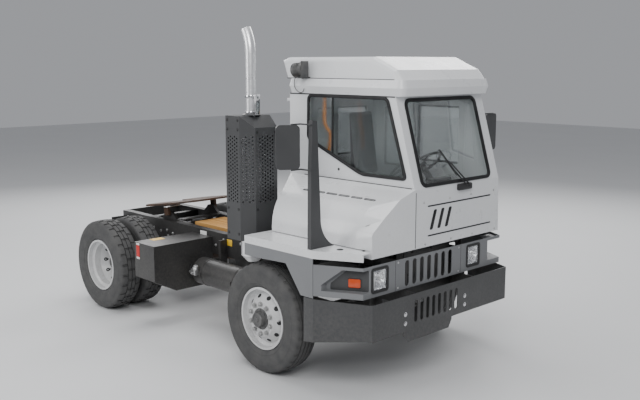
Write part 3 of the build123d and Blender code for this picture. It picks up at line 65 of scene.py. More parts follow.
def makeCamera():
    bpy.ops.object.camera_add(
        location=cameraSetup["place"],
        rotation=(radians(90 - cameraSetup["down"]), 0, radians(cameraSetup["heading"] - 90)),
    )
    camera = bpy.context.object
    camera.name = "photoCamera"
    camera.data.lens = cameraSetup["lens"]
    camera.data.sensor_width = cameraSetup["sensor"]
    bpy.context.scene.camera = camera


# Floor and lights

studio = {
    "floorSize": 60,
    "worldColor": (0.93, 0.95, 1.0, 1),
    "worldStrength": 0.38,
    # name, place, aimed at, width, watts
    "lamps": (
        ("keyLamp", (7.5, -7.0, 7.5), (0.8, 0, 1.3), 5.0, 620),
        ("sideLamp", (-4.0, -9.0, 5.0), (-0.5, 0, 1.0), 5.5, 420),
        ("leftLamp", (-1.5, 9.0, 6.5), (0.4, 0, 1.2), 5.0, 420),
        ("topLamp", (0.0, 0.0, 9.0), (0.0, 0, 1.0), 6.0, 420),
        ("rearLamp", (-9.0, 3.0, 5.5), (-0.8, 0, 1.2), 5.0, 300),
    ),
}


def makeStage():
    bpy.ops.mesh.primitive_plane_add(size=studio["floorSize"], location=(0, 0, 0))
    floor = bpy.context.object
    floor.name = "floor"
    material, tree, shader = startMaterial("floorFinish", {"Roughness": 0.75})
    coords = objectCoords(tree)
    cloud = addNoise(tree, coords, 0.6, 3)
    tree.links.new(addMix(tree, cloud, (0.66, 0.665, 0.67, 1), (0.70, 0.705, 0.71, 1)), shader.inputs["Base Color"])
    floor.data.materials.append(material)
    world = bpy.context.scene.world or bpy.data.worlds.new("studioWorld")
    bpy.context.scene.world = world
    world.use_nodes = True
    sky = world.node_tree.nodes["Background"]
    sky.inputs["Color"].default_value = studio["worldColor"]
    sky.inputs["Strength"].default_value = studio["worldStrength"]
    for name, place, aim, width, watts in studio["lamps"]:
        bpy.ops.object.light_add(type="AREA", location=place)
        lamp = bpy.context.object
        lamp.name = name
        lamp.data.size = width
        lamp.data.energy = watts
        lamp.rotation_euler = (Vector(aim) - Vector(place)).to_track_quat("-Z", "Y").to_euler()


# Small steps that every finish uses

def startMaterial(name, values):  # values go onto the shader's own sockets
    material = bpy.data.materials.new(name)
    material.use_nodes = True
    tree = material.node_tree
    shader = tree.nodes["Principled BSDF"]
    for socket, value in values.items():
        shader.inputs[socket].default_value = value
    return material, tree, shader


def objectCoords(tree):
    return tree.nodes.new("ShaderNodeTexCoord").outputs["Object"]


def addStretch(tree, coords, scale):
    mapping = tree.nodes.new("ShaderNodeMapping")
    mapping.inputs["Scale"].default_value = scale
    tree.links.new(coords, mapping.inputs["Vector"])
    return mapping.outputs["Vector"]


def addNoise(tree, coords, scale, detail=4, roughness=0.55):
    noise = tree.nodes.new("ShaderNodeTexNoise")
    noise.inputs["Scale"].default_value = scale
    noise.inputs["Detail"].default_value = detail
    noise.inputs["Roughness"].default_value = roughness
    tree.links.new(coords, noise.inputs["Vector"])
    return noise.outputs[0]


def addWave(tree, coords, scale, direction, distortion=0.0):
    wave = tree.nodes.new("ShaderNodeTexWave")
    wave.bands_direction = direction
    wave.inputs["Scale"].default_value = scale
    wave.inputs["Distortion"].default_value = distortion
    tree.links.new(coords, wave.inputs["Vector"])
    return wave.outputs[1]


def addRange(tree, value, low, high, toLow=0.0, toHigh=1.0):
    ranger = tree.nodes.new("ShaderNodeMapRange")
    for socket, number in (("From Min", low), ("From Max", high), ("To Min", toLow), ("To Max", toHigh)):
        ranger.inputs[socket].default_value = number
    tree.links.new(value, ranger.inputs["Value"])
    return ranger.outputs["Result"]


def addMath(tree, kind, first, second):
    maths = tree.nodes.new("ShaderNodeMath")
    maths.operation = kind
    for index, value in enumerate((first, second)):
        if isinstance(value, (int, float)):
            maths.inputs[index].default_value = value
        else:
            tree.links.new(value, maths.inputs[index])
    return maths.outputs[0]


def addMix(tree, factor, first, second):
    mix = tree.nodes.new("ShaderNodeMix")
    mix.data_type = "RGBA"
    tree.links.new(factor, mix.inputs[0])
    for index, value in ((6, first), (7, second)):
        if isinstance(value, tuple):
            mix.inputs[index].default_value = value
        else:
            tree.links.new(value, mix.inputs[index])
    return mix.outputs[2]


def addBump(tree, shader, height, strength, distance):
    bump = tree.nodes.new("ShaderNodeBump")
    bump.inputs["Strength"].default_value = strength
    bump.inputs["Distance"].default_value = distance
    tree.links.new(height, bump.inputs["Height"])
    tree.links.new(bump.outputs["Normal"], shader.inputs["Normal"])


def cover(tree, shader, color, rough, low, high, bump):  # colour, roughness between low and high, and bump
    tree.links.new(color, shader.inputs["Base Color"])
    tree.links.new(addRange(tree, rough, 0.3, 0.7, low, high), shader.inputs["Roughness"])
    addBump(tree, shader, *bump)


def heightMask(tree, coords, low, high):  # 1 near the ground, 0 above
    split = tree.nodes.new("ShaderNodeSeparateXYZ")
    tree.links.new(coords, split.inputs[0])
    return addRange(tree, split.outputs["Z"], low, high, 1.0, 0.0)


# Finishes

def paintFinish(name, look):
    material, tree, shader = startMaterial(name, {
        "Coat Weight": look.get("coat", 0.0),
        "Coat Roughness": 0.12,
        "Metallic": 0.0,
    })
    coords = objectCoords(tree)
    cloud = addNoise(tree, coords, 1.7, 5)
    color = addMix(tree, addRange(tree, cloud, 0.35, 0.65), look["color"], look["shade"])
    speck = addNoise(tree, coords, 38, 6, 0.7)
    low = addMath(tree, "MULTIPLY", heightMask(tree, coords, *look["dustHeights"]), look["dustAmount"])
    dust = addMath(tree, "MULTIPLY", low, addRange(tree, speck, 0.38, 0.66))
    color = addMix(tree, dust, color, look["dust"])
    # painted shade: below the given height the paint turns to the given dark colour
    if "under" in look:
        height, below = look["under"]
        color = addMix(tree, heightMask(tree, coords, height - 0.001, height + 0.001), color, below)
    cover(tree, shader, color, addNoise(tree, coords, 6.5, 6), look["roughness"] - 0.05, look["roughness"] + 0.07,
          (addNoise(tree, coords, look["grain"], 3), look["grainDepth"], 0.0015))
    return material


def rubberFinish(name, look):
    material, tree, shader = startMaterial(name, {"Specular IOR Level": 0.35})
    coords = objectCoords(tree)
    cloud = addNoise(tree, coords, 9, 6, 0.6)
    color = addMix(tree, addRange(tree, cloud, 0.35, 0.68), look["color"], look["shade"])
    cover(tree, shader, color, addNoise(tree, coords, 30, 5), look["roughness"] - 0.08, look["roughness"] + 0.08,
          (addNoise(tree, coords, 420, 3), 0.25, 0.0008))
    return material


def metalFinish(name, look):
    material, tree, shader = startMaterial(name, {"Metallic": look["metallic"]})
    coords = objectCoords(tree)
    streak = addNoise(tree, addStretch(tree, coords, look.get("stretch", (1, 1, 1))), look["scale"], 6, 0.6)
    color = addMix(tree, addRange(tree, streak, 0.3, 0.7), look["color"], look["shade"])
    cover(tree, shader, color, streak, look["roughness"] - 0.04, look["roughness"] + 0.08,
          (addNoise(tree, coords, look["grain"], 4), look["grainDepth"], 0.002))
    return material


def woodFinish(name, look):
    material, tree, shader = startMaterial(name, {"Specular IOR Level": 0.3})
    coords = objectCoords(tree)
    along = addStretch(tree, coords, (0.9, 14, 14))
    grain = addNoise(tree, along, 7, 8, 0.65)
    fine = addNoise(tree, addStretch(tree, coords, (2.5, 60, 60)), 9, 5, 0.6)
    base = addMix(tree, addRange(tree, grain, 0.32, 0.68), look["color"], look["shade"])
    board = addNoise(tree, addStretch(tree, coords, (0.05, 8.3, 0.1)), 2.0, 1)
    base = addMix(tree, addRange(tree, board, 0.42, 0.58, 0.0, 0.45), base, look["pale"])
    cover(tree, shader, base, fine, 0.55, 0.8, (fine, 0.35, 0.0015))
    return material


def glassFinish(name, look):
    material, tree, shader = startMaterial(name, {
        "Base Color": look["color"],
        "Transmission Weight": 1.0,
        "IOR": 1.45,
        "Alpha": look["alpha"],
    })
    coords = objectCoords(tree)
    haze = addRange(tree, addNoise(tree, coords, 3.5, 5), 0.45, 0.75, 0.0, look["haze"])
    tree.links.new(haze, shader.inputs["Roughness"])
    return material


def plasticFinish(name, look):
    material, tree, shader = startMaterial(name, {"Specular IOR Level": 0.45})
    coords = objectCoords(tree)
    cloud = addNoise(tree, coords, 5, 4)
    color = addMix(tree, cloud, look["color"], look["shade"])
    cover(tree, shader, color, addNoise(tree, coords, 40, 4), look["roughness"] - 0.05, look["roughness"] + 0.06,
          (addNoise(tree, coords, look["grain"], 2), look["grainDepth"], 0.001))
    return material


def fabricFinish(name, look):
    material, tree, shader = startMaterial(name, {"Sheen Weight": 0.35, "Sheen Roughness": 0.5})
    coords = objectCoords(tree)
    threads = addMath(tree, "MULTIPLY", addWave(tree, coords, 160, "X", 1.2), addWave(tree, coords, 160, "Z"))
    color = addMix(tree, threads, look["color"], look["shade"])
    cover(tree, shader, color, addNoise(tree, coords, 12, 4), 0.75, 0.92, (threads, 0.4, 0.001))
    return material


def lensFinish(name, look):  # moulded lamp lens with fine upright ribs
    material, tree, shader = startMaterial(name, {"Transmission Weight": 0.35, "IOR": 1.49, "Coat Weight": 0.4})
    coords = objectCoords(tree)
    ribs = addWave(tree, coords, 60, "Y")
    color = addMix(tree, ribs, look["color"], look["shade"])
    cover(tree, shader, color, addNoise(tree, coords, 40, 3), 0.16, 0.26, (ribs, 0.3, 0.0015))
    return material


whiteLook = {
    "color": (0.74, 0.75, 0.76, 1), "shade": (0.70, 0.71, 0.725, 1), "dust": (0.46, 0.43, 0.38, 1),
    "dustHeights": (0.9, 1.9), "dustAmount": 0.22, "roughness": 0.30, "coat": 0.35, "grain": 240, "grainDepth": 0.05,
}
frameLook = {
    "color": (0.020, 0.020, 0.021, 1), "shade": (0.032, 0.031, 0.030, 1), "dust": (0.14, 0.13, 0.115, 1),
    "dustHeights": (0.2, 1.3), "dustAmount": 0.35, "roughness": 0.42, "coat": 0.1, "grain": 180, "grainDepth": 0.15,
}
fasciaLook = {
    "color": (0.165, 0.170, 0.178, 1), "shade": (0.185, 0.19, 0.197, 1), "dust": (0.26, 0.25, 0.23, 1),
    "dustHeights": (0.3, 1.2), "dustAmount": 0.3, "roughness": 0.46, "coat": 0.05, "grain": 520, "grainDepth": 0.2,
}
guardLook = {
    "color": (0.040, 0.041, 0.043, 1), "shade": (0.052, 0.053, 0.055, 1), "dust": (0.18, 0.17, 0.155, 1),
    "dustHeights": (0.2, 1.2), "dustAmount": 0.3, "roughness": 0.45, "coat": 0.08, "grain": 480, "grainDepth": 0.2,
}
rimLook = {
    "color": (0.60, 0.605, 0.61, 1), "shade": (0.54, 0.545, 0.55, 1), "dust": (0.33, 0.30, 0.26, 1),
    "dustHeights": (0.1, 1.0), "dustAmount": 0.45, "roughness": 0.38, "coat": 0.15, "grain": 300, "grainDepth": 0.1,
}
rustyLook = {
    "metallic": 0.55, "color": (0.045, 0.040, 0.037, 1), "shade": (0.12, 0.065, 0.04, 1), "scale": 6,
    "roughness": 0.55, "grain": 90, "grainDepth": 0.5,
}
engineLook = {
    "metallic": 0.4, "color": (0.07, 0.072, 0.075, 1), "shade": (0.11, 0.105, 0.10, 1), "scale": 5,
    "roughness": 0.5, "grain": 120, "grainDepth": 0.4,
}
chromeLook = {
    "metallic": 0.85, "color": (0.90, 0.90, 0.91, 1), "shade": (0.80, 0.805, 0.815, 1), "scale": 4,
    "stretch": (1, 1, 6), "roughness": 0.30, "grain": 200, "grainDepth": 0.04,
}
rodLook = {
    "metallic": 1.0, "color": (0.74, 0.74, 0.75, 1), "shade": (0.6, 0.6, 0.61, 1), "scale": 8,
    "roughness": 0.12, "grain": 200, "grainDepth": 0.03,
}
plankLook = {
    "color": (0.52, 0.27, 0.075, 1), "shade": (0.34, 0.155, 0.04, 1), "pale": (0.62, 0.37, 0.13, 1),
}
blackTrim = {"color": (0.018, 0.018, 0.019, 1), "shade": (0.028, 0.028, 0.029, 1), "roughness": 0.5,
             "grain": 350, "grainDepth": 0.25}
zincLook = {
    "metallic": 0.9, "color": (0.62, 0.62, 0.62, 1), "shade": (0.48, 0.48, 0.48, 1), "scale": 30,
    "roughness": 0.32, "grain": 300, "grainDepth": 0.1,
}
reflectorLook = {
    "metallic": 1.0, "color": (0.90, 0.90, 0.91, 1), "shade": (0.82, 0.82, 0.84, 1), "scale": 12,
    "roughness": 0.10, "grain": 160, "grainDepth": 0.05,
}
mirrorLook = {
    "metallic": 1.0, "color": (0.80, 0.82, 0.84, 1), "shade": (0.76, 0.78, 0.80, 1), "scale": 3,
    "roughness": 0.05, "grain": 60, "grainDepth": 0.01,
}
hubLook = {
    "metallic": 0.5, "color": (0.085, 0.086, 0.088, 1), "shade": (0.15, 0.148, 0.145, 1), "scale": 14,
    "roughness": 0.42, "grain": 160, "grainDepth": 0.2,
}
orangeLook = {"color": (0.80, 0.27, 0.03, 1), "shade": (0.70, 0.22, 0.025, 1), "roughness": 0.38,
              "grain": 300, "grainDepth": 0.1}
yellowLook = {"color": (0.80, 0.50, 0.03, 1), "shade": (0.72, 0.44, 0.03, 1), "roughness": 0.45,
              "grain": 300, "grainDepth": 0.1}
whiteTagLook = {"color": (0.78, 0.78, 0.77, 1), "shade": (0.70, 0.70, 0.69, 1), "roughness": 0.42,
                "grain": 260, "grainDepth": 0.1}

tyreLook = {"color": (0.060, 0.060, 0.061, 1), "shade": (0.085, 0.084, 0.082, 1), "roughness": 0.72}
sealLook = {"color": (0.010, 0.010, 0.011, 1), "shade": (0.020, 0.020, 0.021, 1), "roughness": 0.55}
clothLook = {"color": (0.022, 0.022, 0.024, 1), "shade": (0.05, 0.05, 0.054, 1)}
deckShadeEdge = (1.2265, (0.03, 0.03, 0.031, 1))  # painted shade: the decks are dark below this height, where their undersides sit in the gap below the cab
finishTable = (  # name, maker, slot, look
    ("cabPaint", paintFinish, "cab_paint", whiteLook),
    ("deckPaintShaded", paintFinish, "cab_paint", dict(whiteLook, under=deckShadeEdge)),
    ("framePaint", paintFinish, "frame_black", frameLook),
    ("fasciaPaint", paintFinish, "fascia_gray", fasciaLook),
    ("guardPaint", paintFinish, "guard_dark", guardLook),
    ("rimPaint", paintFinish, "rim_gray", rimLook),
    ("tyreRubber", rubberFinish, "tyre_rubber", tyreLook),
    ("castMetal", metalFinish, "cast_dark", rustyLook),
    ("engineMetal", metalFinish, "cast_dark", engineLook),
    ("stackChrome", metalFinish, "stack_chrome", chromeLook),
    ("rodChrome", metalFinish, "rod_steel", rodLook),
    ("plankWood", woodFinish, "wood", plankLook),
    ("tintedGlass", glassFinish, "glass", {"color": (0.70, 0.82, 0.80, 1), "alpha": 0.42, "haze": 0.04}),
    ("lampGlass", glassFinish, "lamp_clear", {"color": (0.92, 0.94, 0.95, 1), "alpha": 0.5, "haze": 0.03}),
    ("blackPlastic", plasticFinish, "trim_black", blackTrim),
    ("seatCloth", fabricFinish, "seat_fabric", clothLook),
    ("sealRubber", rubberFinish, "trim_black", sealLook),
    ("boltZinc", metalFinish, "rod_steel", zincLook),
    ("reflector", metalFinish, "stack_chrome", reflectorLook),
    ("mirrorFace", metalFinish, "stack_chrome", mirrorLook),
    ("hubGray", metalFinish, "cast_dark", hubLook),
    ("nutSteel", metalFinish, "rod_steel", dict(hubLook, color=(0.30, 0.30, 0.30, 1), shade=(0.40, 0.40, 0.39, 1))),
    ("amberLens", lensFinish, "lamp_clear", {"color": (0.95, 0.13, 0.012, 1), "shade": (0.80, 0.07, 0.006, 1)}),
    ("redLens", lensFinish, "lamp_clear", {"color": (0.55, 0.012, 0.010, 1), "shade": (0.38, 0.006, 0.006, 1)}),
    ("orangePaint", plasticFinish, "cab_paint", orangeLook),
    ("yellowPaint", plasticFinish, "cab_paint", yellowLook),
    ("signalRed", plasticFinish, "lamp_clear", dict(yellowLook, color=(0.58, 0.022, 0.018, 1),
                                                    shade=(0.46, 0.018, 0.015, 1))),
    ("whiteTag", plasticFinish, "cab_paint", whiteTagLook),
)
finishes = {name: maker(name, look) for name, maker, slot, look in finishTable}

nodeFinishes = {
    "cabPaint": ("cab_front_panel", "cab_rear_wall", "cab_roof", "cab_side_left", "cab_side_right",
                 "door_left", "rear_door", "engine_cover"),
    "deckPaintShaded": ("deck_left", "deck_right"),
    "fasciaPaint": ("fascia", "fender_left", "fender_right"),
    "guardPaint": ("bumper", "exhaust_guard", "mirror_left", "mirror_right"),
    # cab_floor takes the dark frame paint as painted shade, so the gap below the cab's front panel reads dark
    "framePaint": ("rail_left", "rail_right", "crossmembers", "lift_beam", "front_brackets", "cab_rest",
                   "battery_box", "air_tank", "fuel_tank", "boom", "cab_floor", "lift_barrels", "leaf_springs",
                   "front_axle", "rear_axle", "knuckle_left", "knuckle_right", "tie_rod", "seat_base"),
    "castMetal": ("fifth_wheel", "driveline"),
    "engineMetal": ("engine", "radiator"),
    "tyreRubber": ("tyre_front_left", "tyre_front_right", "tyre_rear_left", "tyre_rear_right"),
    "rimPaint": ("rim_front_left", "rim_front_right", "rim_rear_left", "rim_rear_right"),
    "stackChrome": ("exhaust_stack",),
    "plankWood": ("plank_deck",),
    "tintedGlass": ("cab_glass", "door_glass", "rear_door_glass"),
    "lampGlass": ("front_lamps",),
    "seatCloth": ("seat_pads",),
    "blackPlastic": ("dashboard", "steering_column", "steering_wheel"),
    "rodChrome": ("lift_rods",),
}


def dressNodes():
    for finish, nodes in nodeFinishes.items():
        for node in nodes:
            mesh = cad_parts[node].data
            mesh.materials.clear()
            mesh.materials.append(finishes[finish])


# Modelling steps that every piece uses

def deselect():
    if bpy.context.object and bpy.context.object.mode != "OBJECT":
        bpy.ops.object.mode_set(mode="OBJECT")
    bpy.ops.object.select_all(action="DESELECT")


def pick(piece):  # the only selected object
    deselect()
    piece.select_set(True)
    bpy.context.view_layer.objects.active = piece


def applyPlace():
    bpy.ops.object.transform_apply(location=True, rotation=True, scale=True)


def pickFaces(piece, wanted):  # selects the faces that wanted(centre, normal) names and stays in edit mode
    bpy.ops.object.mode_set(mode="EDIT")
    bpy.ops.mesh.select_mode(type="FACE")
    bpy.ops.mesh.select_all(action="DESELECT")
    bpy.ops.object.mode_set(mode="OBJECT")
    for face in piece.data.polygons:
        face.select = wanted(face.center, face.normal)
    bpy.ops.object.mode_set(mode="EDIT")


def useModifier(piece, kind, **settings):
    bpy.ops.object.modifier_add(type=kind)
    modifier = piece.modifiers[-1]
    for setting, value in settings.items():
        setattr(modifier, setting, value)
    bpy.ops.object.modifier_apply(modifier=modifier.name)


def roundEdges(piece, width, segments=2):
    useModifier(piece, "BEVEL", width=width, segments=segments, limit_method="ANGLE", angle_limit=radians(35))


def faceOut():
    bpy.ops.object.mode_set(mode="EDIT")
    bpy.ops.mesh.select_all(action="SELECT")
    bpy.ops.mesh.remove_doubles(threshold=0.00004)
    bpy.ops.mesh.normals_make_consistent(inside=False)
    bpy.ops.object.mode_set(mode="OBJECT")


def block(x, y, z, rounding=0.003, segments=2):  # box between (low, high) pairs, its edges rounded
    deselect()
    bpy.ops.mesh.primitive_cube_add(size=1, location=[(pair[0] + pair[1]) / 2 for pair in (x, y, z)])
    piece = bpy.context.object
    piece.scale = [abs(pair[1] - pair[0]) for pair in (x, y, z)]
    applyPlace()
    if rounding:
        roundEdges(piece, rounding, segments)
    return piece


def turned(profile, steps=24, place=(0, 0, 0), direction=(0, 0, 1)):  # each point is (along, radius)
    deselect()
    bpy.ops.mesh.primitive_plane_add(size=0.001, location=(0, 0, 0))
    piece = bpy.context.object
    bpy.ops.object.mode_set(mode="EDIT")
    bpy.ops.mesh.select_mode(type="VERT")
    bpy.ops.mesh.select_all(action="SELECT")
    bpy.ops.mesh.merge(type="CENTER")
    bpy.ops.transform.translate(value=(profile[0][1], 0, profile[0][0]))
    for last, point in zip(profile, profile[1:]):
        step = (point[1] - last[1], 0, point[0] - last[0])
        bpy.ops.mesh.extrude_region_move(TRANSFORM_OT_translate={"value": step})
    bpy.ops.mesh.select_all(action="SELECT")
    bpy.ops.mesh.spin(steps=steps, angle=2 * pi, center=(0, 0, 0), axis=(0, 0, 1))
    faceOut()
    piece.rotation_euler = Vector(direction).to_track_quat("Z", "Y").to_euler()
    piece.location = place
    applyPlace()
    return piece


def rod(start, end, radius, steps=12):
    run = Vector(end) - Vector(start)
    far, edge = run.length, min(radius * 0.25, 0.002)
    profile = [(0, 0), (0, radius - edge), (edge, radius), (far - edge, radius), (far, radius - edge), (far, 0)]
    return turned(profile, steps, start, run)


def bentRod(points, radius, bend="AUTO"):  # smooth round bar through the points
    deselect()
    bpy.ops.curve.primitive_bezier_curve_add(location=(0, 0, 0))
    curve = bpy.context.object.data
    spline = curve.splines[0]
    spline.bezier_points.add(len(points) - 2)
    for knot, point in zip(spline.bezier_points, points):
        knot.co = point
        knot.handle_left_type = knot.handle_right_type = bend
    curve.bevel_depth = radius
    curve.bevel_resolution = 3
    curve.resolution_u = 6
    curve.use_fill_caps = True
    bpy.ops.object.convert(target="MESH")
    return bpy.context.object


def outlineFace(corners, roundness, segments):  # one flat face, its corners rounded; left in edit mode
    deselect()
    bpy.ops.mesh.primitive_circle_add(vertices=len(corners), fill_type="NGON", location=(0, 0, 0))
    piece = bpy.context.object
    for vertex, corner in zip(piece.data.vertices, corners):
        vertex.co = corner
    bpy.ops.object.mode_set(mode="EDIT")
    bpy.ops.mesh.select_all(action="SELECT")
    if roundness:
        bpy.ops.mesh.bevel(offset=roundness, segments=segments, affect="VERTICES")
    return piece


def thicken(piece, thickness, edge):  # both ways from the flat shape, its edges rounded
    bpy.ops.object.mode_set(mode="OBJECT")
    useModifier(piece, "SOLIDIFY", thickness=thickness, offset=0)
    faceOut()
    roundEdges(piece, edge)
    return piece


def plate(corners, thickness, roundness=0.0, edge=0.001):  # flat plate of any outline, centred on its corners
    return thicken(outlineFace(corners, roundness, 6), thickness, edge)


def frameRing(corners, width, thickness, roundness, edge=0.002):  # rim that follows an outline, inside it
    piece = outlineFace(corners, roundness, 8)
    bpy.ops.mesh.select_mode(type="FACE")
    bpy.ops.mesh.select_all(action="SELECT")
    bpy.ops.mesh.inset(thickness=width, depth=0)
    bpy.ops.mesh.delete(type="FACE")
    return thicken(piece, thickness, edge)


def about(middle, half):  # low and high end
    return middle - half, middle + half


def boxCorners(across, up, grow=0.0):  # the four (across, up) pairs of a rectangle
    (low, high), (bottom, top) = across, up
    return [(low - grow, bottom - grow), (high + grow, bottom - grow), (high + grow, top + grow),
            (low - grow, top + grow)]


def standing(foot, along, pairs):  # upright outline: each pair is (distance along, height)
    return [foot + along * run + Vector((0, 0, up)) for run, up in pairs]


def knob(radius, shoulder, height, topRadius, low=0):  # profile of a round head with a slanted edge
    return (low, 0), (low, radius), (shoulder, radius), (height, topRadius), (height, 0)


def shifted(spans, place):  # (low, high) pairs moved to a place, one for each axis
    return [(start + low, start + high) for start, (low, high) in zip(place, spans)]


def ringProfile(inner, outer, length):
    return (0, inner), (0, outer), (length, outer), (length, inner), (0, inner)


def joined(parts):
    deselect()
    for part in parts:
        part.select_set(True)
    bpy.context.view_layer.objects.active = parts[0]
    bpy.ops.object.join()
    return bpy.context.object


def copied(piece, move):  # a moved copy with its own mesh
    pick(piece)
    bpy.ops.object.duplicate()
    copy = bpy.context.object
    copy.location = move
    applyPlace()
    return copy


def remove(piece):
    pick(piece)
    bpy.ops.object.delete()


def ringOf(piece, count, centre, axis):  # repeats the mesh about an axis
    pick(piece)
    bpy.ops.object.mode_set(mode="EDIT")
    bpy.ops.mesh.select_all(action="SELECT")
    bpy.ops.mesh.spin(steps=count - 1, dupli=True, angle=2 * pi * (count - 1) / count, center=centre, axis=axis)
    bpy.ops.object.mode_set(mode="OBJECT")
    return piece


def dress(piece, name, finish, body, smooth=35):
    pick(piece)
    applyPlace()
    piece.name = piece.data.name = name
    piece.data.materials.clear()
    piece.data.materials.append(finishes[finish])
    bpy.ops.object.shade_smooth_by_angle(angle=radians(smooth))
    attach(piece, body)
    return piece


# Tyres

tyre = {
    "steps": 108, "treadHalf": 0.106, "crown": 0.008, "treadDrop": 0.008, "flank": 0.75,
    "grooveWidth": 0.010, "grooveDepth": 0.012, "grooveDraft": 0.001,
    "frontGrooves": (-0.068, -0.023, 0.023, 0.068), "rearGrooves": (-0.050, 0.0, 0.050),
    "cutEdge": 0.119, "frontCut": 0.0044, "frontCutFrom": 0.07, "rearCut": 0.011, "rearCutShift": 0.05,
}
wheelRows = (  # name, axle, side, half distance between the outer wheels, spacing of the pair
    ("front_right", frontAxle, -1, 1.0675, 0),
    ("front_left", frontAxle, 1, 1.0675, 0),
    ("rear_right", rearAxle, -1, 1.0785, 0.340),
    ("rear_left", rearAxle, 1, 1.0785, 0.340),
)
tyreWall = (  # distance from the tyre's middle and radius, from bead to shoulder
    (0.084, 0.2868), (0.0975, 0.2868), (0.0985, 0.2990), (0.106, 0.3045), (0.113, 0.3085), (0.1165, 0.3125),
    (0.1235, 0.3230), (0.1300, 0.3370), (0.1318, 0.3420), (0.1340, 0.3425), (0.1345, 0.3460), (0.1332, 0.3480),
    (0.1372, 0.3720), (0.1393, 0.3990), (0.1393, 0.4240), (0.1374, 0.4440), (0.1385, 0.4450), (0.1378, 0.4485),
    (0.1361, 0.4500), (0.1330, 0.4720), (0.1300, 0.4860), (0.1262, 0.4970), (0.1200, 0.5060), (0.1120, 0.5120),
)


def titled(piece, name):  # a wheel's name in the piece's name
    return piece + name.title().replace("_", "")


def treadLine(grooves):  # profile across the crowned tread, with its grooves
    half, draft, deep = tyre["grooveWidth"] / 2, tyre["grooveDraft"], tyre["grooveDepth"]
    line = [(tyre["treadHalf"], 0)]
    for middle in sorted(grooves, reverse=True):
        line += [(middle + half, 0), (middle + half - draft, deep), (middle - half + draft, deep), (middle - half, 0)]
    line.append((-tyre["treadHalf"], 0))
    return [(across, tyreRadius - tyre["crown"] * (across / tyre["treadHalf"]) ** 2 - deep) for across, deep in line]


def makeTyre(grooves, blocky):
    profile = list(tyreWall) + treadLine(grooves) + [(-across, radius) for across, radius in reversed(tyreWall)]
    piece = turned(profile + profile[:1], tyre["steps"], direction=(0, 1, 0))
    step = 2 * pi / tyre["steps"]

    def inCut(centre, normal):
        radius = (centre.x ** 2 + centre.z ** 2) ** 0.5
        if radius < tyreRadius - tyre["crown"] - tyre["treadDrop"] or abs(normal.y) > tyre["flank"]:
            return False
        turn = int((atan2(centre.z, centre.x) + pi) / step)
        across = abs(centre.y)
        if blocky:
            shift = 0 if across > tyre["rearCutShift"] else 2
            return across < tyre["cutEdge"] and (turn + shift) % 4 == 0
        return tyre["frontCutFrom"] < across < tyre["cutEdge"] and turn % 3 == 0

    pickFaces(piece, inCut)
    depth = tyre["rearCut" if blocky else "frontCut"]
    bpy.ops.mesh.extrude_region_shrink_fatten(TRANSFORM_OT_shrink_fatten={"value": -depth})
    bpy.ops.object.mode_set(mode="OBJECT")
    return piece


def makeTyres():
    frontTyre = makeTyre(tyre["frontGrooves"], False)
    rearTyre = makeTyre(tyre["rearGrooves"], True)
    for name, axle, side, half, spacing in wheelRows:
        source = rearTyre if spacing else frontTyre
        shifts = (0, spacing) if spacing else (0,)
        copies = [copied(source, (axle, side * (half - shift), tyreRadius)) for shift in shifts]
        piece = dress(joined(copies), titled("tyre", name), "tyreRubber", "wheel_" + name, 40)
        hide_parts("tyre_" + name)
    remove(frontTyre)
    remove(rearTyre)
    print("tyres done")


# Wheel nuts, dark discs of painted shade in the hand holes, hub caps and valves

nutProfile = (
    (0, 0), (0, 0.0265), (0.005, 0.0265), (0.006, 0.0235), (0.007, 0.0205), (0.023, 0.0205), (0.027, 0.0170),
    (0.027, 0),
)
handHoleShadeProfile = (
    (-0.003, 0), (-0.003, 0.0225), (0.0008, 0.0230), (0.0016, 0.0215), (0.0010, 0.0160), (-0.0005, 0),
)
hubCapProfile = (  # from the wheel's face outward
    (-0.002, 0), (-0.002, 0.101), (0.006, 0.101), (0.009, 0.098), (0.010, 0.078), (0.026, 0.072), (0.050, 0.069),
    (0.056, 0.064), (0.056, 0.050), (0.052, 0.047), (0.052, 0.024), (0.060, 0.021), (0.062, 0.014), (0.062, 0),
)
rearCapProfile = ((0, 0), (0, 0.060), (0.006, 0.060), (0.010, 0.054), (0.016, 0.030), (0.016, 0))
wheelFittings = {
    "nuts": 10, "nutCircle": 0.143, "stud": knob(0.009, 0.031, 0.033, 0.006, 0.020), "holeCircle": 0.212,
    "hubBolts": 8, "stemFoot": (0.236, 0.030), "stemTip": (0.246, 0.031), "stem": 0.005,
    "stemCap": knob(0.007, 0.012, 0.014, 0.005),
}
wheelKinds = {  # distances are outward from the tyre's middle plane
    "front": {"face": 0.118, "hole": (0.0775, (0.678, 0.736)), "cap": (hubCapProfile, 40, 0.118),
              "hubBolt": knob(0.007, 0.006, 0.007, 0.005), "boltAt": (0.128, 0.088), "valve": (0.060, 0.112)},
    "rear": {"face": -0.160, "hole": (-0.0839, (-0.875, 0.483)), "cap": (rearCapProfile, 32, -0.050),
             "hubBolt": knob(0.011, 0.010, 0.012, 0.009), "boltAt": (-0.104, 0.096), "valve": (0.020, 0.085)},
}


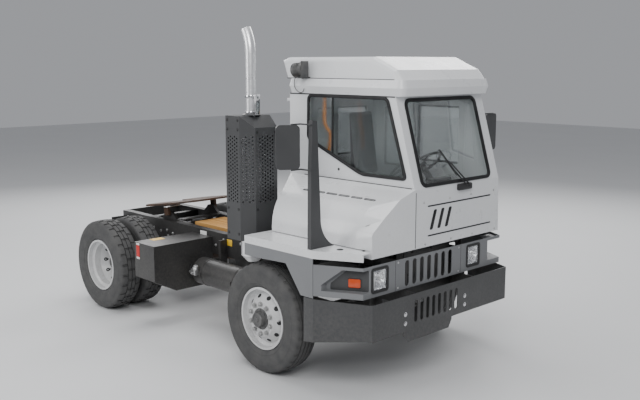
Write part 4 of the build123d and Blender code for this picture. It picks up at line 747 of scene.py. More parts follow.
def makeWheelFittings():
    for name, axle, side, half, spacing in wheelRows:
        kind = wheelKinds["rear" if spacing else "front"]
        centre, out, body = (axle, side * half, tyreRadius), (0, side, 0), "wheel_" + name

        def at(along, x=0.0, z=0.0):
            return axle + x, side * (half + along), tyreRadius + z

        def ring(piece, count):
            return ringOf(piece, count, centre, (0, 1, 0))

        nutPlace = at(kind["face"], z=wheelFittings["nutCircle"])
        nut = joined([turned(nutProfile, 6, nutPlace, out), turned(wheelFittings["stud"], 10, nutPlace, out)])
        dress(ring(nut, wheelFittings["nuts"]), titled("wheelNuts", name), "nutSteel", body, 30)
        # the hand holes get dark discs: painted shade where the holes look dark
        along, (radial, outward) = kind["hole"]
        hole = turned(handHoleShadeProfile, 20, at(along, x=wheelFittings["holeCircle"]), (radial, side * outward, 0))
        dress(ring(hole, wheelFittings["nuts"]), titled("handHoleShade", name), "sealRubber", body, 30)
        profile, steps, along = kind["cap"]
        cap = turned(profile, steps, at(along), out)
        along, circle = kind["boltAt"]
        bolt = turned(kind["hubBolt"], 6, at(along, z=circle), out)
        hub = joined([cap, ring(bolt, wheelFittings["hubBolts"])])
        dress(hub, titled("hubCap", name), "hubGray", body, 30)
        foot, tip = (at(along, *wheelFittings[end]) for along, end in zip(kind["valve"], ("stemFoot", "stemTip")))
        stem = rod(foot, tip, wheelFittings["stem"], 10)
        end = turned(wheelFittings["stemCap"], 10, tip, out)
        dress(joined([stem, end]), titled("valve", name), "boltZinc", body, 30)
    print("wheel fittings done")


# Window seals: each follows its opening a little outside it

cabFront = {  # foot, belt and top of the cab's front, and the normals below and above the belt
    "z": (1.230, 1.760, 2.590), "x": (1.110, 1.094, 0.850), "normals": ((1, 0, 0.03), (0.830, 0, 0.244)),
}
seals = {
    "outside": 0.008, "stand": 0.003, "windscreen": ((-0.197, 0.866), (1.780, 2.560)),
    "sideWindow": ((-0.289, 2.580), (0.760, 2.580), (1.000, 1.842), (0.440, 1.842), (-0.295, 2.134)),
    "sideMiddle": (0.35, 2.25), "sideY": -0.3035,
    "divider": ((fa(0.036), fa(0.052)), (-0.300, -0.284), (2.012, 2.572)),
    "door": ((0.060, 0.620), (1.850, 2.450)), "doorY": 1.0035,
    "rearDoor": ((0.400, 0.880), (1.900, 2.420)), "rearStand": 0.002,
}
sealRims = {  # width, thickness, rounding of the corners and of the edges
    "windscreen": (0.034, 0.020, 0.075, 0.004), "side": (0.030, 0.018, 0.055, 0.004),
    "door": (0.030, 0.018, 0.050, 0.004), "rearDoor": (0.026, 0.006, 0.050, 0.002),
}


def facePoint(y, z, out=0.0):  # a point on the cab's slanted front, moved out from it
    part = 1 if z > cabFront["z"][1] else 0
    lowZ, highZ = cabFront["z"][part:part + 2]
    lowX, highX = cabFront["x"][part:part + 2]
    x = fa(lowX) + (z - lowZ) / (highZ - lowZ) * (highX - lowX)
    return Vector((x, y, z)) + out * Vector(cabFront["normals"][part]).normalized()


def makeSeals():
    out = seals["outside"]
    corners = [facePoint(y, z, seals["stand"]) for y, z in boxCorners(*seals["windscreen"], out)]
    dress(frameRing(corners, *sealRims["windscreen"]), "windscreenSeal", "sealRubber", "cab")
    corners = []
    for x, z in seals["sideWindow"]:
        away = (Vector((x, z)) - Vector(seals["sideMiddle"])).normalized() * out
        corners.append((fa(x + away.x), seals["sideY"], z + away.y))
    side = frameRing(corners, *sealRims["side"])
    dress(joined([side, block(*seals["divider"])]), "sideWindowSeal", "sealRubber", "cab")
    corners = [(fa(x), seals["doorY"], z) for x, z in boxCorners(*seals["door"], out)]
    dress(frameRing(corners, *sealRims["door"]), "doorWindowSeal", "sealRubber", "door_left")
    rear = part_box("rear_door")[0].x - seals["rearStand"]
    corners = [(rear, y, z) for y, z in boxCorners(*seals["rearDoor"], out)]
    dress(frameRing(corners, *sealRims["rearDoor"]), "rearDoorSeal", "sealRubber", "rear_door")
    print("window seals done")


# Wiper on the windscreen's lower right

wiper = {
    "boxX": (-0.012, 0.036), "boxY": (0.318, 0.520), "boxZ": (1.700, 1.762),
    "arms": (((0.470, 1.745), (0.255, 1.955)), ((0.425, 1.742), (0.225, 1.945))),  # pivot and tip
    "pivot": knob(0.014, 0.012, 0.016, 0.010), "pivotOut": (0.030, 0.040), "tipOut": (0.030, 0.028), "arm": 0.0065,
    "blade": ((0.330, 1.840), (0.135, 2.090)), "bladeOut": 0.022, "bladeRadius": 0.006,
    "edgeOut": 0.008, "edgeRadius": 0.0035, "holders": (0.08, 0.36, 0.64, 0.92), "holder": 0.004,
    "joint": 0.45, "jointRadius": 0.007,
}


def makeWiper():
    front = facePoint(0, wiper["boxZ"][0]).x
    parts = [block([front + x for x in wiper["boxX"]], wiper["boxY"], wiper["boxZ"], 0.014, 4)]
    pivotFoot, armFoot = wiper["pivotOut"]
    armTip, jointOut = wiper["tipOut"]
    for pivot, tip in wiper["arms"]:
        parts.append(rod(facePoint(*pivot, armFoot), facePoint(*tip, armTip), wiper["arm"]))
        parts.append(turned(wiper["pivot"], 16, facePoint(*pivot, pivotFoot), (1, 0, 0.1)))
    start, end = (facePoint(*spot, wiper["bladeOut"]) for spot in wiper["blade"])
    edgeStart, edgeEnd = (facePoint(*spot, wiper["edgeOut"]) for spot in wiper["blade"])
    parts += [rod(start, end, wiper["bladeRadius"]), rod(edgeStart, edgeEnd, wiper["edgeRadius"], 8)]
    for share in wiper["holders"]:
        parts.append(rod(start.lerp(end, share), edgeStart.lerp(edgeEnd, share), wiper["holder"], 8))
    tip = facePoint(*wiper["arms"][0][1], jointOut)
    parts.append(rod(tip, start.lerp(end, wiper["joint"]), wiper["jointRadius"]))
    dress(joined(parts), "wiper", "blackPlastic", "cab")
    print("wiper done")


# Head lamps and the marker lamps beside them

headLamp = {
    "front": 1.130, "middleZ": 1.046, "halfWidth": 0.100, "halfHeight": 0.102, "sides": (-0.796, 0.556),
    "bezel": (0.026, 0.007, 0.030, 0.003), "grow": 0.011, "play": 0.002, "shellX": (-0.055, -0.004),
    "rim": 0.014, "sink": 0.012, "bowl": ((0.012, -0.012), (0.030, -0.014)), "cup": (0.018, 0.006),
    "bars": 5, "barX": (-0.026, -0.020), "barFirst": -0.076, "barPitch": 0.0075, "barWidth": 0.004, "barHalf": 0.072,
    "lensIn": 0.005, "lensShrink": 0.015, "lensThick": 0.004, "lensRound": 0.014,
}
cupProfile = (
    (-0.040, 0), (-0.040, 0.020), (-0.030, 0.036), (-0.012, 0.047), (-0.010, 0.050), (-0.014, 0.052), (-0.045, 0.040),
    (-0.045, 0),
)
bulbProfile = ((-0.041, 0), (-0.041, 0.010), (-0.020, 0.011), (-0.014, 0.006), (-0.014, 0))
markerLamp = {
    "length": 0.118, "height": 0.086, "along": 0.136, "z": 1.027, "case": (0.0, 0.0, 0.008),
    "lens": (-0.006, 0.004, 0.017), "roundness": 0.010,
    "floors": ((-1, -0.917, (0.796, -1.108)), (1, 0.797, (0.780, 0.975))),  # side, start, end of each pocket's floor
}


def lampOutline(x, y, shrink=0.0):
    across = about(y, headLamp["halfWidth"] - shrink)
    up = about(headLamp["middleZ"], headLamp["halfHeight"] - shrink)
    return [(x, *pair) for pair in boxCorners(across, up)]


def pocketFloors():  # foot, direction and outward normal of each lamp pocket's floor
    floors = []
    for side, start, (endX, endY) in markerLamp["floors"]:
        along = Vector((endX - headLamp["front"], endY - start, 0)).normalized()
        foot = Vector((fa(headLamp["front"]), start, 0))
        floors.append((foot, along, Vector((side * along.y, -side * along.x, 0))))
    return floors


def makeHeadLamps():
    bezels, bowls, lenses, insides = [], [], [], []
    front, z = fa(headLamp["front"]), headLamp["middleZ"]
    width, stand, roundness, edge = headLamp["bezel"]
    for y in headLamp["sides"]:
        outline = lampOutline(front + stand / 2, y, -headLamp["grow"])
        bezels.append(frameRing(outline, width, stand, roundness, edge))
        wide, tall = headLamp["halfWidth"] - headLamp["play"], headLamp["halfHeight"] - headLamp["play"]
        shell = block([front + x for x in headLamp["shellX"]], about(y, wide), about(z, tall), 0)
        pickFaces(shell, lambda centre, normal: normal.x > 0.9)
        bpy.ops.mesh.inset(thickness=headLamp["rim"], depth=0)
        bpy.ops.mesh.extrude_region_move(TRANSFORM_OT_translate={"value": (-headLamp["sink"], 0, 0)})
        for thickness, depth in headLamp["bowl"]:
            bpy.ops.mesh.inset(thickness=thickness, depth=depth)
        bpy.ops.object.mode_set(mode="OBJECT")
        roundEdges(shell, 0.002)
        cupPlace = (front, y + headLamp["cup"][0], z + headLamp["cup"][1])
        bowls += [shell, turned(cupProfile, 32, cupPlace, (1, 0, 0))]
        insides.append(turned(bulbProfile, 16, cupPlace, (1, 0, 0)))
        for step in range(headLamp["bars"]):
            low = y + headLamp["barFirst"] + step * headLamp["barPitch"]
            insides.append(block([front + x for x in headLamp["barX"]], (low, low + headLamp["barWidth"]),
                                 about(z, headLamp["barHalf"]), 0.001))
        outline = lampOutline(front - headLamp["lensIn"], y, headLamp["lensShrink"])
        lenses.append(plate(outline, headLamp["lensThick"], headLamp["lensRound"]))
    bezel = dress(joined(bezels), "lampBezels", "blackPlastic", "chassis")
    dress(joined(bowls), "lampReflectors", "reflector", "chassis")
    dress(joined(insides), "lampInsides", "whiteTag", "chassis")
    dress(joined(lenses), "lampLenses", "lampGlass", "chassis")
    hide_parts("front_lamps")
    bodies, cases = [], []
    for foot, along, out in pocketFloors():
        middle = foot + Vector((0, 0, markerLamp["z"])) + along * markerLamp["along"]
        for group, kind in ((cases, "case"), (bodies, "lens")):
            grow, low, high = markerLamp[kind]
            half, tall = markerLamp["length"] / 2 + grow, markerLamp["height"] / 2 + grow
            flat = standing(middle + out * (low + high) / 2, along, boxCorners(about(0, half), about(0, tall)))
            group.append(plate(flat, high - low, markerLamp["roundness"], 0.002))
    dress(joined(bodies), "markerLenses", "amberLens", "chassis")
    dress(joined(cases), "markerCases", "blackPlastic", "chassis")
    print("head lamps done")


# Dark floors of the lamp pockets and dark fills in the blind slots and grooves of the cab's front panel, both painted
# shade; seams, those of the roof darkened into painted shadow lines

pocketFloor = {
    "shape": ((0.012, 0.957), (0.352, 0.957), (0.352, 1.010), (0.196, 1.1455), (0.012, 1.1455)),
    "thickness": 0.003, "stand": 0.0005, "roundness": 0.012,
}
panelMarks = {
    "slots": ((-0.074, 1.380), (0.038, 1.380), (0.150, 1.380)), "lean": 0.068, "rise": 0.180, "half": 0.0215,
    "stand": 0.0008, "grooveY": (-0.118, 0.862), "grooveZ": (1.600, 1.328), "grooveHalf": 0.0065, "thickness": 0.003,
}
seams = {
    "fasciaX": (fa(1.1292), fa(1.1306)), "fasciaY": (-0.591, 0.359), "fasciaHalf": 0.0018, "fasciaZ": (0.902, 1.176),
    # roof: dark strips under the roof cap and the roof band, a real seam made wider and darker as painted shadow
    "roof": ((-0.600, 0.830, -0.2985, 2.7330, 2.7415), (-0.600, 0.830, 0.9945, 2.7330, 2.7415),
             (-0.555, 0.845, -0.3035, 2.5780, 2.5905), (-0.555, 0.845, 0.9995, 2.5780, 2.5905)), "roofWidth": 0.004,
    "coverY": -0.3045, "coverX": (-0.34, -0.10, 0.20, 0.50, 0.80, 1.00, 1.06), "coverStand": 0.001,
    "coverRadius": 0.0045, "upright": ((fa(1.1085), fa(1.1118)), (-0.3045, -0.2975), (1.236, 1.745)),
}
coverRay = {"from": 2.2, "missed": 1.7}


def coverHeight(x, y):  # height of the engine cover's skin
    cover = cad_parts["engine_cover"]
    hit, place, normal, index = cover.ray_cast(Vector((x, y, coverRay["from"])), Vector((0, 0, -1)))
    return place.z if hit else coverRay["missed"]


def makeFrontDetails():
    floors = []
    # dark plates on the pocket floors: painted shade in the lamp pockets
    for foot, along, out in pocketFloors():
        foot = foot + out * (pocketFloor["thickness"] / 2 + pocketFloor["stand"])
        floors.append(plate(standing(foot, along, pocketFloor["shape"]), pocketFloor["thickness"],
                            pocketFloor["roundness"]))
    dress(joined(floors), "pocketFloors", "guardPaint", "chassis")
    lines = [block(seams["fasciaX"], about(y, seams["fasciaHalf"]), seams["fasciaZ"], 0.0004, 1)
             for y in seams["fasciaY"]]
    dress(joined(lines), "fasciaSeams", "sealRubber", "chassis")
    # dark plates in the slots and grooves: painted shade in the recesses
    fills = []
    half, lean, stand = panelMarks["half"], panelMarks["lean"], panelMarks["stand"]
    for y, z in panelMarks["slots"]:
        top = z + panelMarks["rise"]
        corners = ((y - half, z), (y + half, z), (y + half + lean, top), (y - half + lean, top))
        fills.append(plate([facePoint(*corner, stand) for corner in corners], panelMarks["thickness"], 0.014, 0.0005))
    half = panelMarks["grooveHalf"]
    for z in panelMarks["grooveZ"]:
        corners = [facePoint(*corner, stand) for corner in boxCorners(panelMarks["grooveY"], about(z, half))]
        fills.append(plate(corners, panelMarks["thickness"], half * 0.95, 0.0004))
    dress(joined(fills), "panelSlotShade", "sealRubber", "cab")
    # roof lines: real seams widened and darkened into painted shadow lines
    lines = [block((fa(rear), fa(ahead)), (y, y + seams["roofWidth"]), (low, high), 0.001, 1)
             for rear, ahead, y, low, high in seams["roof"]]
    dress(joined(lines), "roofSeamShadows", "sealRubber", "cab")
    y = seams["coverY"]
    route = [(fa(x), y, coverHeight(fa(x), y) + seams["coverStand"]) for x in seams["coverX"]]
    seam = bentRod(route, seams["coverRadius"], "VECTOR")
    dress(joined([seam, block(*seams["upright"], 0.001, 1)]), "coverSeam", "sealRubber", "cab")
    print("front details done")


# Bolts: one is modelled and copied to each place

boltRows = {  # name: finish, body, direction, head radius, height, places
    "panelScrews": ("boltZinc", "cab", (1, 0, 0.03), 0.0075, 0.004, [
        facePoint(y, z) for y, z in ((-0.171, 1.640), (0.209, 1.640), (0.543, 1.641), (0.918, 1.641),
                                     (-0.159, 1.254), (0.225, 1.254), (0.562, 1.253), (0.936, 1.251))]),
    "bumperBolts": ("rodChrome", "chassis", (1, 0, 0), 0.015, 0.008, [
        (fa(1.226), y, z) for y in (-0.560, 0.308) for z in (0.620, 0.704)]),
    "guardScrewsSide": ("blackPlastic", "chassis", (0, -1, 0), 0.011, 0.006, [
        (fa(x), -1.030, z) for x in (-0.664, -0.506) for z in (1.235, 1.480, 2.255, 2.345)]),
    "guardScrewsFront": ("blackPlastic", "chassis", (1, 0, 0), 0.011, 0.006, [
        (fa(-0.370), y, z) for y in (-0.900, -0.668) for z in (1.235, 1.480, 2.225)]),
    "railBoltsRight": ("boltZinc", "chassis", (0, -1, 0), 0.013, 0.010, [
        (fa(x), -0.430, z) for x, z in (
            (-3.55, 0.820), (-3.55, 0.930), (-3.40, 0.820), (-3.40, 0.930), (-2.945, 0.878), (-2.795, 0.856),
            (-2.664, 0.881), (-2.538, 0.857), (-2.640, 0.815), (-2.568, 0.810), (-2.459, 0.837), (-2.317, 0.838),
            (-1.684, 0.850), (-1.54, 0.930), (-1.24, 0.930), (-0.92, 0.930))]),
    "railBoltsLeft": ("boltZinc", "chassis", (0, 1, 0), 0.013, 0.010, [
        (fa(x), 0.430, z) for x in (-3.55, -3.40, -2.90, -2.60, -2.32, -1.66) for z in (0.820, 0.930)]),
    "fasciaScrews": ("boltZinc", "chassis", (1, 0, 0), 0.007, 0.004, [
        (fa(1.130), y, z) for y in (-0.555, 0.325) for z in (0.925, 1.155)]),
}


def makeBolts():
    for name, (finish, body, direction, radius, height, places) in boltRows.items():
        profile = ((-0.001, 0), (-0.001, radius * 1.45), (height * 0.25, radius * 1.40), (height * 0.3, radius),
                   (height * 0.85, radius), (height, radius * 0.8), (height, 0))
        bolt = turned(profile, 12, (0, 0, 0), direction)
        dress(joined([copied(bolt, place) for place in places]), name, finish, body, 30)
        remove(bolt)
    print("bolts done")


# Work lamps at the roof's rear corners

workLamp = {
    "rowY": (-0.372, 1.072), "mount": -0.262, "z": 2.830, "tilt": (-1, 0, -0.12), "sunk": 0.008,
    "fin": (0.060, 0.0695, 0.004), "finsAt": (0.036, 0.052, 0.068, 0.084), "plate": 0.009, "plateHalf": 0.050,
    "plateZ": (-0.078, 0.076), "footX": -0.070, "footY": (-0.078, 0.034), "footZ": (-0.086, -0.078),
    "bolt": knob(0.012, 0.010, 0.012, 0.009), "boltX": -0.034, "lensAt": 0.122,
}
workLampProfile = (  # from the mounting plate to the rim
    (0, 0), (0, 0.056), (0.014, 0.062), (0.030, 0.066), (0.096, 0.066), (0.104, 0.071), (0.128, 0.072),
    (0.131, 0.069), (0.131, 0.063), (0.112, 0.058), (0.080, 0.040), (0.070, 0.016), (0.070, 0),
)
workLensProfile = ((0, 0), (0, 0.061), (0.003, 0.060), (0.006, 0.040), (0.007, 0))


def makeWorkLamps():
    x, z, tilt = fa(workLamp["mount"]), workLamp["z"], Vector(workLamp["tilt"]).normalized()
    for side, y, out in zip(("Right", "Left"), workLamp["rowY"], (-1, 1)):
        start = Vector((x - workLamp["sunk"], y, z))
        shell = turned(workLampProfile, 36, start, tilt)
        fins = [turned(ringProfile(*workLamp["fin"]), 36, start + tilt * along, tilt) for along in workLamp["finsAt"]]
        back = block((x - workLamp["plate"], x), about(y, workLamp["plateHalf"]), [z + up for up in workLamp["plateZ"]])
        foot = block((x + workLamp["footX"], x), sorted(y + across * out for across in workLamp["footY"]),
                     [z + up for up in workLamp["footZ"]])
        bolt = turned(workLamp["bolt"], 12, (x + workLamp["boltX"], y, z + workLamp["footZ"][0]), (0, 0, -1))
        dress(joined([shell, back, foot, bolt] + fins), "workLamp" + side, "hubGray", "cab")
        lens = turned(workLensProfile, 36, start + tilt * workLamp["lensAt"], tilt)
        dress(lens, "workLampLens" + side, "lampGlass", "cab")
    print("work lamps done")


# Lead of the right work lamp: out of the lamp, a loop below it, and back into the roof band

lampLead = {
    "route": ((-0.425, -0.314, 2.772), (-0.448, -0.330, 2.745), (-0.456, -0.340, 2.690), (-0.440, -0.342, 2.640),
              (-0.400, -0.338, 2.603), (-0.352, -0.333, 2.592), (-0.322, -0.332, 2.612), (-0.320, -0.329, 2.636)),
    "thickness": 0.007,
}


def makeLampLead():
    deselect()
    bpy.ops.curve.primitive_nurbs_path_add(location=(0, 0, 0))
    lead = bpy.context.object
    spline = lead.data.splines[0]
    spline.points.add(len(lampLead["route"]) - len(spline.points))
    for knot, (x, y, z) in zip(spline.points, lampLead["route"]):
        knot.co = (fa(x), y, z, 1)
    spline.order_u = 3
    spline.use_endpoint_u = True
    spline.resolution_u = 12
    lead.data.bevel_depth = lampLead["thickness"] / 2
    lead.data.bevel_resolution = 3
    lead.name = lead.data.name = "lampLead"
    lead.data.materials.append(finishes["sealRubber"])
    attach(lead, "cab")
    x, y, z = lampLead["route"][0]
    print("lamp lead done")


# Grab handle beside the rear door, seen through the side window

grabHandle = {
    "route": ((-0.128, 2.588), (-0.128, 2.430), (-0.128, 2.318), (-0.106, 2.266), (-0.060, 2.220), (-0.046, 2.174),
              (-0.050, 2.110), (-0.062, 2.060), (-0.074, 2.010)),
    "y": -0.222, "radius": 0.015, "foot": (-0.072, 2.022), "footY": -0.256, "footRadius": 0.010,
    "flange": knob(0.026, 0.004, 0.006, 0.022), "flangeY": -0.260,
}


def makeGrabHandle():
    y = grabHandle["y"]
    bar = bentRod([(fa(x), y, z) for x, z in grabHandle["route"]], grabHandle["radius"])
    x, z = fa(grabHandle["foot"][0]), grabHandle["foot"][1]
    foot = rod((x, grabHandle["footY"], z), (x, y, z), grabHandle["footRadius"])
    flange = turned(grabHandle["flange"], 20, (x, grabHandle["flangeY"], z), (0, 1, 0))
    dress(joined([bar, foot, flange]), "grabHandle", "orangePaint", "cab")
    print("grab handle done")


# Clamps and collar of the exhaust stack, places measured from its axis

stack = {
    "centre": Vector((fa(-0.530), -0.8375, 0)), "clamps": ((2.396, 0.030), (2.548, 0.034)),
    "inside": 0.0512, "outside": 0.0575, "crest": 0.0590, "edge": 0.003,
    "ear": ((0.050, 0.104), (-0.012, 0.012), (2.548, 2.584)),
    "strap": ((0.092, 0.101), (-0.030, 0.030), (2.395, 2.590)),
    "bolt": (0.072, 0.030, 2.566, 0.006), "collarZ": 2.3855,
}
collarProfile = (
    (0, 0.0515), (0, 0.092), (0.004, 0.094), (0.012, 0.070), (0.022, 0.058), (0.022, 0.0515), (0, 0.0515),
)


def makeStackClamps():
    centre, parts = stack["centre"], []
    inside, outside, crest, edge = (stack[size] for size in ("inside", "outside", "crest", "edge"))
    for z, tall in stack["clamps"]:
        profile = ((0, inside), (0, outside), (edge, crest), (tall - edge, crest), (tall, outside), (tall, inside),
                   (0, inside))
        parts.append(turned(profile, 40, centre + Vector((0, 0, z))))
    for spans in (stack["ear"], stack["strap"]):
        parts.append(block(*shifted(spans, centre)))
    x, half, z, radius = stack["bolt"]
    parts.append(rod(centre + Vector((x, -half, z)), centre + Vector((x, half, z)), radius))
    dress(joined(parts), "stackClamps", "rodChrome", "chassis")
    collar = turned(collarProfile, 40, centre + Vector((0, 0, stack["collarZ"])))
    dress(collar, "stackCollar", "guardPaint", "chassis")
    print("stack clamps done")


# Mirror faces and rims, on the side of the head that looks back

mirrorHeads = (  # name, inner and outer point in plan, body
    ("Right", (0.600, -1.236), (0.490, -1.410), "chassis"),
    ("Left", (0.790, 1.206), (0.770, 1.410), "cab"),
)
mirrorSizes = {
    "z": 2.180, "headDepth": 0.032, "sunk": 0.002, "face": (0.086, 0.172), "faceThick": 0.005, "faceRound": 0.028,
    "rim": (0.097, 0.184), "rimShape": (0.012, 0.012, 0.036, 0.003),
}


def makeMirrors():
    for name, inner, outer, body in mirrorHeads:
        start, end = (Vector((fa(x), y, mirrorSizes["z"])) for x, y in (inner, outer))
        along = (end - start).normalized()
        side = 1 if along.y > 0 else -1
        back = Vector((-side * along.y, side * along.x, 0))
        ahead = back.x > 0
        rear = (start + end) / 2 + (Vector() if ahead else back * mirrorSizes["headDepth"])
        glassAt = rear - (back if ahead else -back) * mirrorSizes["sunk"]
        half, tall = mirrorSizes["face"]
        flat = standing(glassAt, along, boxCorners(about(0, half), about(0, tall)))
        face = plate(flat, mirrorSizes["faceThick"], mirrorSizes["faceRound"])
        dress(face, "mirrorFace" + name, "mirrorFace", body)
        half, tall = mirrorSizes["rim"]
        flat = standing(glassAt, along, boxCorners(about(0, half), about(0, tall)))
        dress(frameRing(flat, *mirrorSizes["rimShape"]), "mirrorRim" + name, "blackPlastic", body)
    print("mirrors done")


# Engine cover: raised lips round the slots

coverSlots = {
    "first": 0.025, "pitch": 0.160, "count": 6, "y": -0.600, "length": 0.132, "width": 0.026, "stand": 0.002,
    "lip": (0.006, 0.005, 0.010, 0.001),
}


def makeCoverLips():
    lips = []
    for step in range(coverSlots["count"]):
        x = fa(coverSlots["first"] + step * coverSlots["pitch"])
        outline = boxCorners(about(x, coverSlots["length"] / 2), about(coverSlots["y"], coverSlots["width"] / 2))
        corners = [(px, py, coverHeight(px, py) + coverSlots["stand"]) for px, py in outline]
        lips.append(frameRing(corners, *coverSlots["lip"]))
    dress(joined(lips), "coverSlotLips", "blackPlastic", "cab")
    print("cover lips done")


# Steering wheel

steeringWheel = {
    "centre": (fa(0.640), 0.350, 1.900), "axis": (0.18, 0, -0.21), "ring": 0.2025, "grip": 0.0125, "gripSteps": 12,
    "lift": 0.002, "spokes": 3, "spoke": 0.010,
}
steeringHub = ((-0.010, 0), (-0.010, 0.030), (-0.006, 0.044), (0.004, 0.050), (0.014, 0.046), (0.014, 0))


def makeSteeringWheel():
    centre, axis = Vector(steeringWheel["centre"]), Vector(steeringWheel["axis"]).normalized()
    ring, grip, steps = steeringWheel["ring"], steeringWheel["grip"], steeringWheel["gripSteps"]
    turns = [2 * pi * step / steps for step in range(steps + 1)]
    lifted = centre + axis * steeringWheel["lift"]
    rim = turned([(grip * sin(turn), ring + grip * cos(turn)) for turn in turns], 64, lifted, axis)
    hub = turned(steeringHub, 32, centre, axis)
    spoke = rod(lifted, lifted + axis.orthogonal().normalized() * ring, steeringWheel["spoke"])
    spokes = ringOf(spoke, steeringWheel["spokes"], centre, axis)
    wheel = dress(joined([rim, hub, spokes]), "steeringRim", "blackPlastic", "steering_wheel")
    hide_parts("steering_wheel")
    print("steering wheel done")


# Seat pads, blown up a little as cloth over foam

seatPads = {
    "cushionX": (fa(-0.096), fa(0.398)), "cushionY": (0.117, 0.583), "cushionZ": (1.624, 1.716),
    "cushionRound": (0.030, 4), "backFoot": (fa(-0.084), 1.738), "backTop": (fa(-0.150), 2.398), "backThick": 0.076,
    "backY": 0.350, "backHalf": 0.195, "backTaper": (0.8, 0.84, 1), "backRound": (0.036, 5),
    "voxel": 0.006, "quickVoxel": 0.015, "pressure": 4.0, "frames": 20, "cap": 0.014, "fill": 0.8,
}


def puffUp(pad):
    pick(pad)
    useModifier(pad, "REMESH", mode="VOXEL", voxel_size=seatPads["voxel"])
    before = [vertex.co.copy() for vertex in pad.data.vertices]
    bpy.ops.object.modifier_add(type="CLOTH")
    cloth = pad.modifiers[-1]
    cloth.settings.use_pressure = True
    cloth.settings.uniform_pressure_force = seatPads["pressure"]
    cloth.settings.effector_weights.gravity = 0
    cloth.collision_settings.use_collision = False
    cloth.point_cache.frame_start = 1
    cloth.point_cache.frame_end = seatPads["frames"]
    for step in range(1, seatPads["frames"] + 1):
        bpy.context.scene.frame_set(step)
    bpy.ops.object.modifier_apply(modifier=cloth.name)
    bpy.context.scene.frame_set(1)
    for vertex, start in zip(pad.data.vertices, before):
        move = vertex.co - start
        if move.length > seatPads["cap"]:
            vertex.co = start + move.normalized() * seatPads["cap"]
    useModifier(pad, "SUBSURF", levels=1, render_levels=1)


def makeSeat():
    cushion = block(seatPads["cushionX"], seatPads["cushionY"], seatPads["cushionZ"], *seatPads["cushionRound"])
    (footX, footZ), (topX, topZ) = seatPads["backFoot"], seatPads["backTop"]
    middle, thick = seatPads["backY"], seatPads["backThick"]
    back = block((footX - thick, footX), about(middle, seatPads["backHalf"]), (footZ, topZ), 0)
    pickFaces(back, lambda centre, normal: normal.z > 0.9)
    bpy.ops.transform.translate(value=(topX - footX, 0, 0))
    bpy.ops.transform.resize(value=seatPads["backTaper"], center_override=(topX - thick / 2, middle, topZ))
    bpy.ops.object.mode_set(mode="OBJECT")
    roundEdges(back, *seatPads["backRound"])
    for pad, name in ((cushion, "seatCushion"), (back, "seatBack")):
        puffUp(pad)
        dress(pad, name, "seatCloth", "cab", 60)
    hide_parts("seat_pads")
    print("seat done")


# Hoods, dials and signal lever on the dashboard, heights measured from its top

dash = {
    "hood": ((fa(0.800), fa(0.900)), (0.200, 0.500), (-0.055, 0.045), (0.018, 4)),
    "pod": ((fa(0.835), fa(0.915)), (-0.180, 0.120), (-0.040, 0.012), (0.012, 3)),
    "dials": ((0.270, 0.036), (0.350, 0.042), (0.430, 0.036)), "dialX": fa(0.801), "dialDown": 0.004,
    "lever": ((fa(0.720), 0.295, 1.835), (fa(0.700), 0.225, 1.860), (fa(0.690), 0.140, 1.880)), "leverRadius": 0.007,
    "knobPlace": (fa(0.690), 0.145, 1.879), "knob": ((0, 0), (0, 0.012), (0.030, 0.014), (0.036, 0.008), (0.036, 0)),
}


def makeDashDetails():
    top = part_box("dashboard")[1].z
    hoods = [block(x, y, [top + up for up in z], *rounding) for x, y, z, rounding in (dash["hood"], dash["pod"])]
    dress(joined(hoods), "dashHood", "blackPlastic", "cab")
    dials = []
    for y, radius in dash["dials"]:
        profile = ((0, 0), (0, radius), (0.004, radius), (0.005, radius - 0.004), (0.002, radius - 0.006), (0.002, 0))
        dials.append(turned(profile, 32, (dash["dialX"], y, top - dash["dialDown"]), (-1, 0, 0.1)))
    dress(joined(dials), "dashDials", "whiteTag", "cab")
    lever = bentRod(dash["lever"], dash["leverRadius"])
    end = turned(dash["knob"], 16, dash["knobPlace"], (0, -1, 0.2))
    dress(joined([lever, end]), "signalLever", "blackPlastic", "cab")
    print("dashboard done")


# Blank plates, yellow marks and the side reflector

marks = {
    "plates": (((fa(-1.975), fa(-1.855)), (-0.434, -0.430), (0.925, 0.980)),
               ((fa(-0.200), fa(-0.125)), (-1.2035, -1.2000), (1.150, 1.222))),
    "yellow": ((fa(-1.475), fa(-1.385)), (-0.4335, -0.4300), (0.878, 0.950)),
    "boxEdge": ((0.020, 0.110), (0.180, 0.330), (-0.001, 0.002)),  # from the battery box's rear, right and top
    "reflectorX": (0.038, 0.098), "reflectorY": (-0.003, 0.001), "red": (-0.160, -0.030),
    "ends": ((-0.184, -0.162), (-0.028, -0.006)), "edge": 0.0015,
}


def makeChassisDetails():
    edge = marks["edge"]
    dress(joined([block(*spans, edge) for spans in marks["plates"]]), "blankPlates", "whiteTag", "chassis")
    low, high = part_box("battery_box")
    rear, right, top = low.x, low.y, high.z
    yellow = block(*marks["yellow"], edge)
    onBox = block(*shifted(marks["boxEdge"], (rear, right, top)), 0.001, 1)
    dress(joined([yellow, onBox]), "yellowMark", "yellowPaint", "chassis")
    x, y = [rear + end for end in marks["reflectorX"]], [right + end for end in marks["reflectorY"]]
    dress(block(x, y, [top + end for end in marks["red"]], edge), "sideReflector", "signalRed", "chassis")
    ends = [block(x, y, [top + end for end in span], edge) for span in marks["ends"]]
    dress(joined(ends), "reflectorEnds", "whiteTag", "chassis")
    print("marks done")


# Bands round the air tank

tankBands = {
    "places": (fa(-1.500), fa(-0.960)), "radius": 0.150, "width": 0.034, "thickness": 0.003, "sunk": 0.002,
    "boltOut": 0.004, "boltHalf": 0.022, "boltRadius": 0.008,
}


